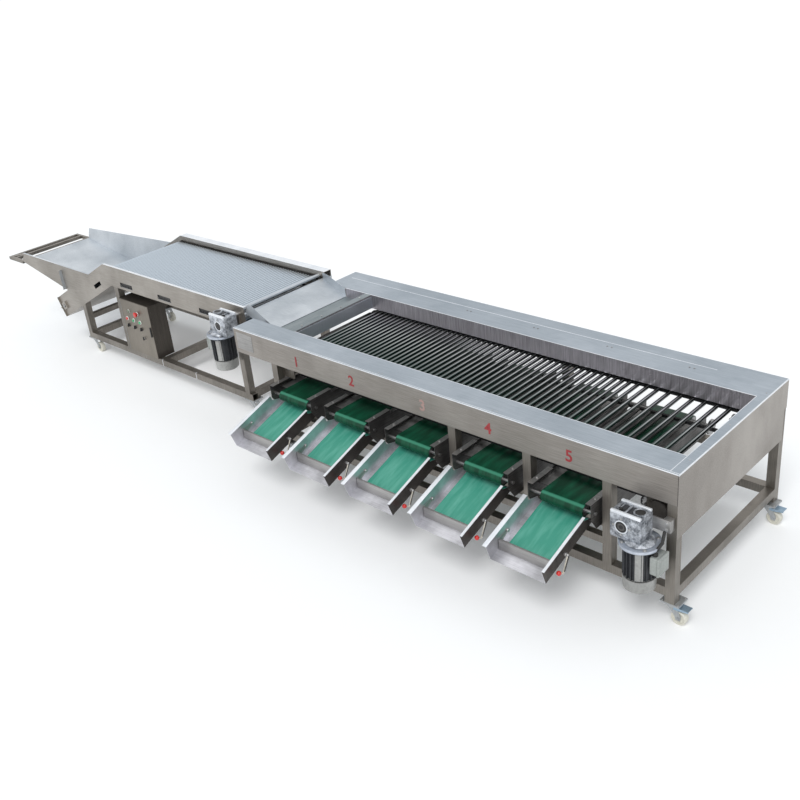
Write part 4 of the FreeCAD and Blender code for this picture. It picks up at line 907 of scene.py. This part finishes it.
def makeBelts():
    # Closed bands round two drums
    look = outletLook
    r = look["drum"]
    belts = []
    for c in centres:
        x0 = c + look["offset"] - look["belt"] / 2
        band = block((x0, look["drumY"] - r, look["drumZ"] - r),
                     (x0 + look["belt"], look["lineY"] + r, look["drumZ"] + r), "belt", 0)
        pick(band)
        bpy.ops.object.mode_set(mode="EDIT")
        bpy.ops.mesh.select_mode(type="FACE")
        bpy.ops.mesh.select_all(action="DESELECT")
        shape = bmesh.from_edit_mesh(band.data)
        for face in shape.faces:
            face.select_set(abs(face.normal.x) > 0.9)
        bmesh.update_edit_mesh(band.data)
        bpy.ops.mesh.delete(type="FACE")
        bpy.ops.object.mode_set(mode="OBJECT")
        change(band, "BEVEL", width=(r - 0.4) / 1000, segments=14, limit_method="ANGLE",
               angle_limit=math.radians(40))
        change(band, "SOLIDIFY", thickness=look["thick"] / 1000, offset=-1)
        belts.append(band)
    whole("crossBelts", belts, replaces=["outlet_belts"])


makeBelts()

gateLook = {"pivotY": -262.0, "pivotZ": 405.0, "y": -338.0, "foot": 337.6, "height": 58.0,
            "thick": 2.0, "lip": 10.0, "play": 3.5, "shaft": 5.0, "shaftOut": 6.0, "shaftIn": 8.0,
            "collar": 9.0, "collarHalf": 5.0, "eye": 7.5, "rod": 4.2, "out": 29.0, "kneeY": -301.0,
            "kneeZ": 324.0, "ballY": -336.0, "ballZ": 346.0, "ball": 12.5, "stay": 2.6, "stayOut": 7.5,
            "stayUp": 12.0}


def makeGates():
    g = gateLook
    y, foot, top = g["y"], g["foot"], g["foot"] + g["height"]
    py, pz = pivot = (g["pivotY"], g["pivotZ"])
    arm = [(y, foot + 12), (y, top), (py - 2, pz + 9), (py + 7, pz + 7), (py + 10, pz),
           (py + 7, pz - 7), (py - 2, pz - 9)]
    for k, c in enumerate(centres, 1):
        wall = c - outletLook["trayLeft"]
        left = wall + g["play"]
        right = c + outletLook["trayRight"] - g["play"]
        lever = c + outletLook["trayRight"] + g["out"]
        stay = lever + g["stayOut"]
        knee = (lever, g["kneeY"], g["kneeZ"])
        grip = (lever, g["ballY"], g["ballZ"])
        blade = block((left, y, foot), (right, y + g["thick"], top), "gate", 0.5)
        lip = block((left + 1, y, top - g["thick"]), (right - 1, y + g["lip"], top), "gate", 0.6)
        arms = [outline(arm, 0, x, x + g["thick"], "gate", 0.4) for x in (left, right - g["thick"])]
        shafts = [bar((wall - g["shaftOut"], *pivot), (left + g["shaftIn"], *pivot), g["shaft"],
                      "shaft", 20, 0.6),
                  bar((right - g["shaftIn"], *pivot), (lever + g["shaftOut"], *pivot), g["shaft"],
                      "shaft", 20, 0.6),
                  bar((stay, *pivot), (stay, g["kneeY"], g["kneeZ"] + g["stayUp"]), g["stay"],
                      "black", 12)]
        collars = [bar((x - g["collarHalf"], *pivot), (x + g["collarHalf"], *pivot), g["collar"],
                       "bolt", 20, 0.8) for x in (wall + 7, lever - 12)]
        rods = [bar((lever, *pivot), knee, g["rod"], "cream", 16), ball(knee, g["rod"], "cream"),
                bar(knee, grip, g["rod"], "cream", 16), ball((lever, *pivot), g["eye"], "bolt")]
        knob = ball(grip, g["ball"], "red")
        name = "gate_%d" % k
        whole("swingGate%d" % k, [blade, lip, knob] + shafts + arms + collars + rods,
              name, [name])


makeGates()
print("belts and gates")

# Fascia and covers: digits, bolts, the bare plate, painted highlights on the folded edges

fasciaLook = {"digitX": (576, 1045, 1587, 2034, 2524), "digitZ": 753, "digitTall": 62, "proud": 0.6,
              "capital": 0.69, "digitDeep": 0.4, "digitBold": 1.7, "worn": 3,
              "plate": (22, 172, 716, 828), "plateProud": 1.5, "rivetIn": 7, "rivet": 2.4,
              "pair": 14, "rearPairs": (1135, 1640, 2140, 2640), "rearY": 960,
              "frontPairs": (500, 1260, 2060, 2780), "frontY": 30,
              "endBolts": (140, 520, 900), "endX": 3074}


def makeDigits():
    look = fasciaLook
    pieces = []
    for k, x in enumerate(look["digitX"], 1):
        clearAll()
        bpy.ops.object.text_add(location=at(x, -look["proud"], look["digitZ"]),
                                rotation=(math.pi / 2, 0, 0))
        text = bpy.context.view_layer.objects.active
        text.data.body = str(k)
        text.data.align_x = "CENTER"
        text.data.align_y = "CENTER"
        text.data.extrude = look["digitDeep"] / 1000
        text.data.offset = look["digitBold"] / 1000
        text.data.size = look["digitTall"] / 1000 / look["capital"]
        bpy.ops.object.convert(target="MESH")
        pieces.append(seated("digitWorn" if k == look["worn"] else "digit"))
    whole("outletDigits", pieces)


def makeFasciaTrim():
    look = fasciaLook
    top = workHeight
    x0, x1, z0, z1 = look["plate"]
    inset = look["rivetIn"]
    plate = block((x0, -look["plateProud"], z0), (x1, 0.2, z1), "gate", 0.5)
    rivets = []
    for x in (x0 + inset, x1 - inset):
        for z in (z0 + inset, z1 - inset):
            rivets.append(ball((x, 0.1 - look["plateProud"], z), look["rivet"], "bolt", (1, 0.6, 1)))
    for x in look["rearPairs"]:
        for dx in (-look["pair"], look["pair"]):
            rivets += screw(x + dx, look["rearY"], top, (0, 0, 1), 4, 3, "shaft")
    for x in look["frontPairs"]:
        for dx in (-look["pair"], look["pair"]):
            rivets += screw(x + dx, look["frontY"], top, (0, 0, 1), 3, 1.6)
    for y in look["endBolts"]:
        rivets += screw(look["endX"], y, top, (0, 0, 1), 3, 1.6)
    whole("fasciaTrim", [plate] + rivets)


# Each strip: where it runs in x and in y, and its lower face
foldLook = {"top": 850.5,
            "strips": {"frontEdge": ((0, 3100), (-0.6, 3.4), 847),
                       "frontSeam": ((0, 3096), (10.5, 13.5), 849.2),
                       "troughRear": ((160, 3050), (843.5, 848.5), 849.2),
                       "rearSeam": ((60, 2760), (1003.2, 1007.2), 849.2),
                       "rightEdge": ((3095.5, 3100.6), (0, 1100), 845.5),
                       "rightSeam": ((3048, 3051), (14, 846), 849.2),
                       "troughFront": ((400, 3050), (164, 167.4), 849.2)},
            "corner": ((3096, -0.4, 688), (3098.5, 0.3, 846)),
            "weldX": (-1345, -925), "weldHalf": 2.5, "weldY": (249.2, 262), "weldZ": (129.4, 180.8)}


def makeFoldLines():
    # Folded and welded edges as thin strips: painted highlights in the bright edge finish along the folds
    # and seams, and a dark strip down the front right corner
    look = foldLook
    pieces = []
    for (x0, x1), (y0, y1), low in look["strips"].values():
        pieces.append(block((x0, y0, low), (x1, y1, look["top"]), "edge", 0))
    pieces.append(block(*look["corner"], "traySide", 0))
    y0, y1 = look["weldY"]
    z0, z1 = look["weldZ"]
    for x in look["weldX"]:
        pieces.append(block((x - look["weldHalf"], y0, z0), (x + look["weldHalf"], y1, z1), "edge", 0))
    whole("foldLines", pieces)


def makeTrayFolds():
    # The wide rolled edge left of each tray, in the bright edge finish as a painted highlight
    look = outletLook
    a = math.radians(look["angle"])
    low = look["wall"] + look["foldLow"]
    high = look["wall"] + look["foldHigh"]
    points = []
    for s, h in ((0, low), (look["foldLong"], low), (look["foldLong"], high), (0, high)):
        points.append((look["trayY"] + s * math.cos(a) - h * math.sin(a),
                       look["trayZ"] + s * math.sin(a) + h * math.cos(a)))
    wall = centres[0] - look["trayLeft"]
    first = outline(points, 0, wall - look["foldOut"], wall + look["foldIn"], "edge", 0.5)
    whole("trayFolds", spaced(first, [(c - centres[0], 0, 0) for c in centres]))


slotLook = {"x": (-1624.0, -1136.0, -638.0), "half": 80.0, "teeth": 8, "tooth": 7.0, "over": 4.0,
            "y": (255.0, 266.0), "toothZ": (705.0, 722.0), "barZ": (719.0, 744.0), "barIn": 2.0}


def makeSlotChains():
    # The deck chain behind the side plate's slots: a dark bar with teeth below
    look = slotLook
    y0, y1 = look["y"]
    z0, z1 = look["toothZ"]
    low, high = look["barZ"]
    reach = look["half"] + look["over"]
    pieces = []
    for x in look["x"]:
        pieces.append(block((x - reach, y0 + look["barIn"], low), (x + reach, y1, high), "black", 0))
        for k in range(look["teeth"]):
            mid = x - look["half"] + (k + 0.5) * 2 * look["half"] / look["teeth"]
            pieces.append(block((mid - look["tooth"], y0, z0), (mid + look["tooth"], y1, z1),
                                "black", 1.5))
    whole("slotChains", pieces)


def makeCasterBolts():
    # Four bolts through each caster's plate
    look = casterLook
    pieces = []
    for unit in ("sizer", "infeed"):
        for x in look["x"][unit]:
            for y in look["y"][unit]:
                for dx in (-look["boltX"], look["boltX"]):
                    for dy in (-look["boltY"], look["boltY"]):
                        pieces += screw(x + dx, y + dy, look["plateTop"], (0, 0, 1), 4.5, 4)
    whole("casterBolts", pieces)


makeDigits()
makeFasciaTrim()
makeFoldLines()
makeTrayFolds()
makeSlotChains()
makeCasterBolts()
print("digits and trim")

# Control door: rings, lamp, buttons, knobs, stop and latch

doorLook = {"face": 240.0, "x": (-1692.0, -1607.0, -1523.0), "buttonZ": 452.0, "knobZ": 396.0,
            "lamp": (-1655.0, 518.0), "lampRadius": 12, "stop": (-1541.0, 518.0),
            "latch": (-1508.0, 326.0), "bezel": 15.6, "cap": 10.8, "capLooks": ("red", "green", "green"),
            "skirt": 14, "grip": (4, 13), "mark": 0.8, "stem": 4, "stopHead": (18, 20),
            "latchRadius": 12, "wing": (3, 14), "handle": ((-1400, 360), (-1390, 440)),
            "hinge": ((-1752, 186), (-1748, 600))}


def upright(low, high, y0, y1, look, edge):
    # A block between two corners given in x and z
    return block((low[0], y0, low[1]), (high[0], y1, high[1]), look, edge)


def makeDoorTrim():
    d = doorLook
    y = d["face"]
    rings = []
    for x, z in [(x, d["buttonZ"]) for x in d["x"]] + [d["stop"], d["lamp"]]:
        bezel = bar((x, y + 0.5, z), (x, y - 4.6, z), d["bezel"], "white", 32, 0.8)
        step(bezel, (0, -1, 0), [(3, 0), (0.6, -1.2)])
        rings.append(bezel)
    x, z = d["lamp"]
    lamp = bar((x, y - 3, z), (x, y - 11, z), d["lampRadius"], "green", 32, 2.5)
    handle = upright(*d["handle"], y - 10, y, "black", 2.5)
    hinge = upright(*d["hinge"], y - 1.2, y, "shaft", 0.4)
    whole("doorTrim", rings + [lamp, handle, hinge], "control_door")


def makeButton(k, x):
    d = doorLook
    y, z = d["face"], d["buttonZ"]
    cap = bar((x, y + 10, z), (x, y - 11.6, z), d["cap"], d["capLooks"][k - 1], 28, 1.2)
    step(cap, (0, -1, 0), [(3, 0), (1, -0.8)])
    name = "push_button_%d" % k
    whole("pushButton%d" % k, [cap], name, [name])


def makeKnob(k, x):
    d = doorLook
    y, z = d["face"], d["knobZ"]
    wide, tall = d["grip"]
    mark = d["mark"]
    pieces = [bar((x, y - 0.4, z), (x, y - 6.3, z), d["skirt"], "black", 32, 1),
              block((x - wide, y - 16, z - tall), (x + wide, y - 5, z + tall), "black", 2),
              block((x - mark, y - 16.4, z + 2), (x + mark, y - 15.6, z + 12), "white", 0.2),
              bar((x, y - 2, z), (x, y + 15, z), d["stem"], "shaft", 16)]
    name = "rotary_knob_%d" % k
    whole("rotaryKnob%d" % k, pieces, name, [name])


def makeStopAndLatch():
    d = doorLook
    y = d["face"]
    x, z = d["stop"]
    rear, front = d["stopHead"]
    pieces = [bar((x, y - 12, z), (x, y - 26, z), rear, "red", 36, 3, front),
              bar((x, y + 13, z), (x, y - 12, z), d["cap"], "red", 24)]
    whole("emergencyStop", pieces, "emergency_stop", ["emergency_stop"])
    x, z = d["latch"]
    wide, tall = d["wing"]
    pieces = [bar((x, y - 0.4, z), (x, y - 8.3, z), d["latchRadius"], "shaft", 28, 1),
              block((x - wide, y - 16, z - tall), (x + wide, y - 7, z + tall), "black", 1.5),
              bar((x, y - 2, z), (x, y + 11, z), d["stem"], "shaft", 16)]
    whole("doorLatch", pieces, "door_latch", ["door_latch"])


makeDoorTrim()
for k, x in enumerate(doorLook["x"], 1):
    makeButton(k, x)
    makeKnob(k, x)
makeStopAndLatch()
print("controls")
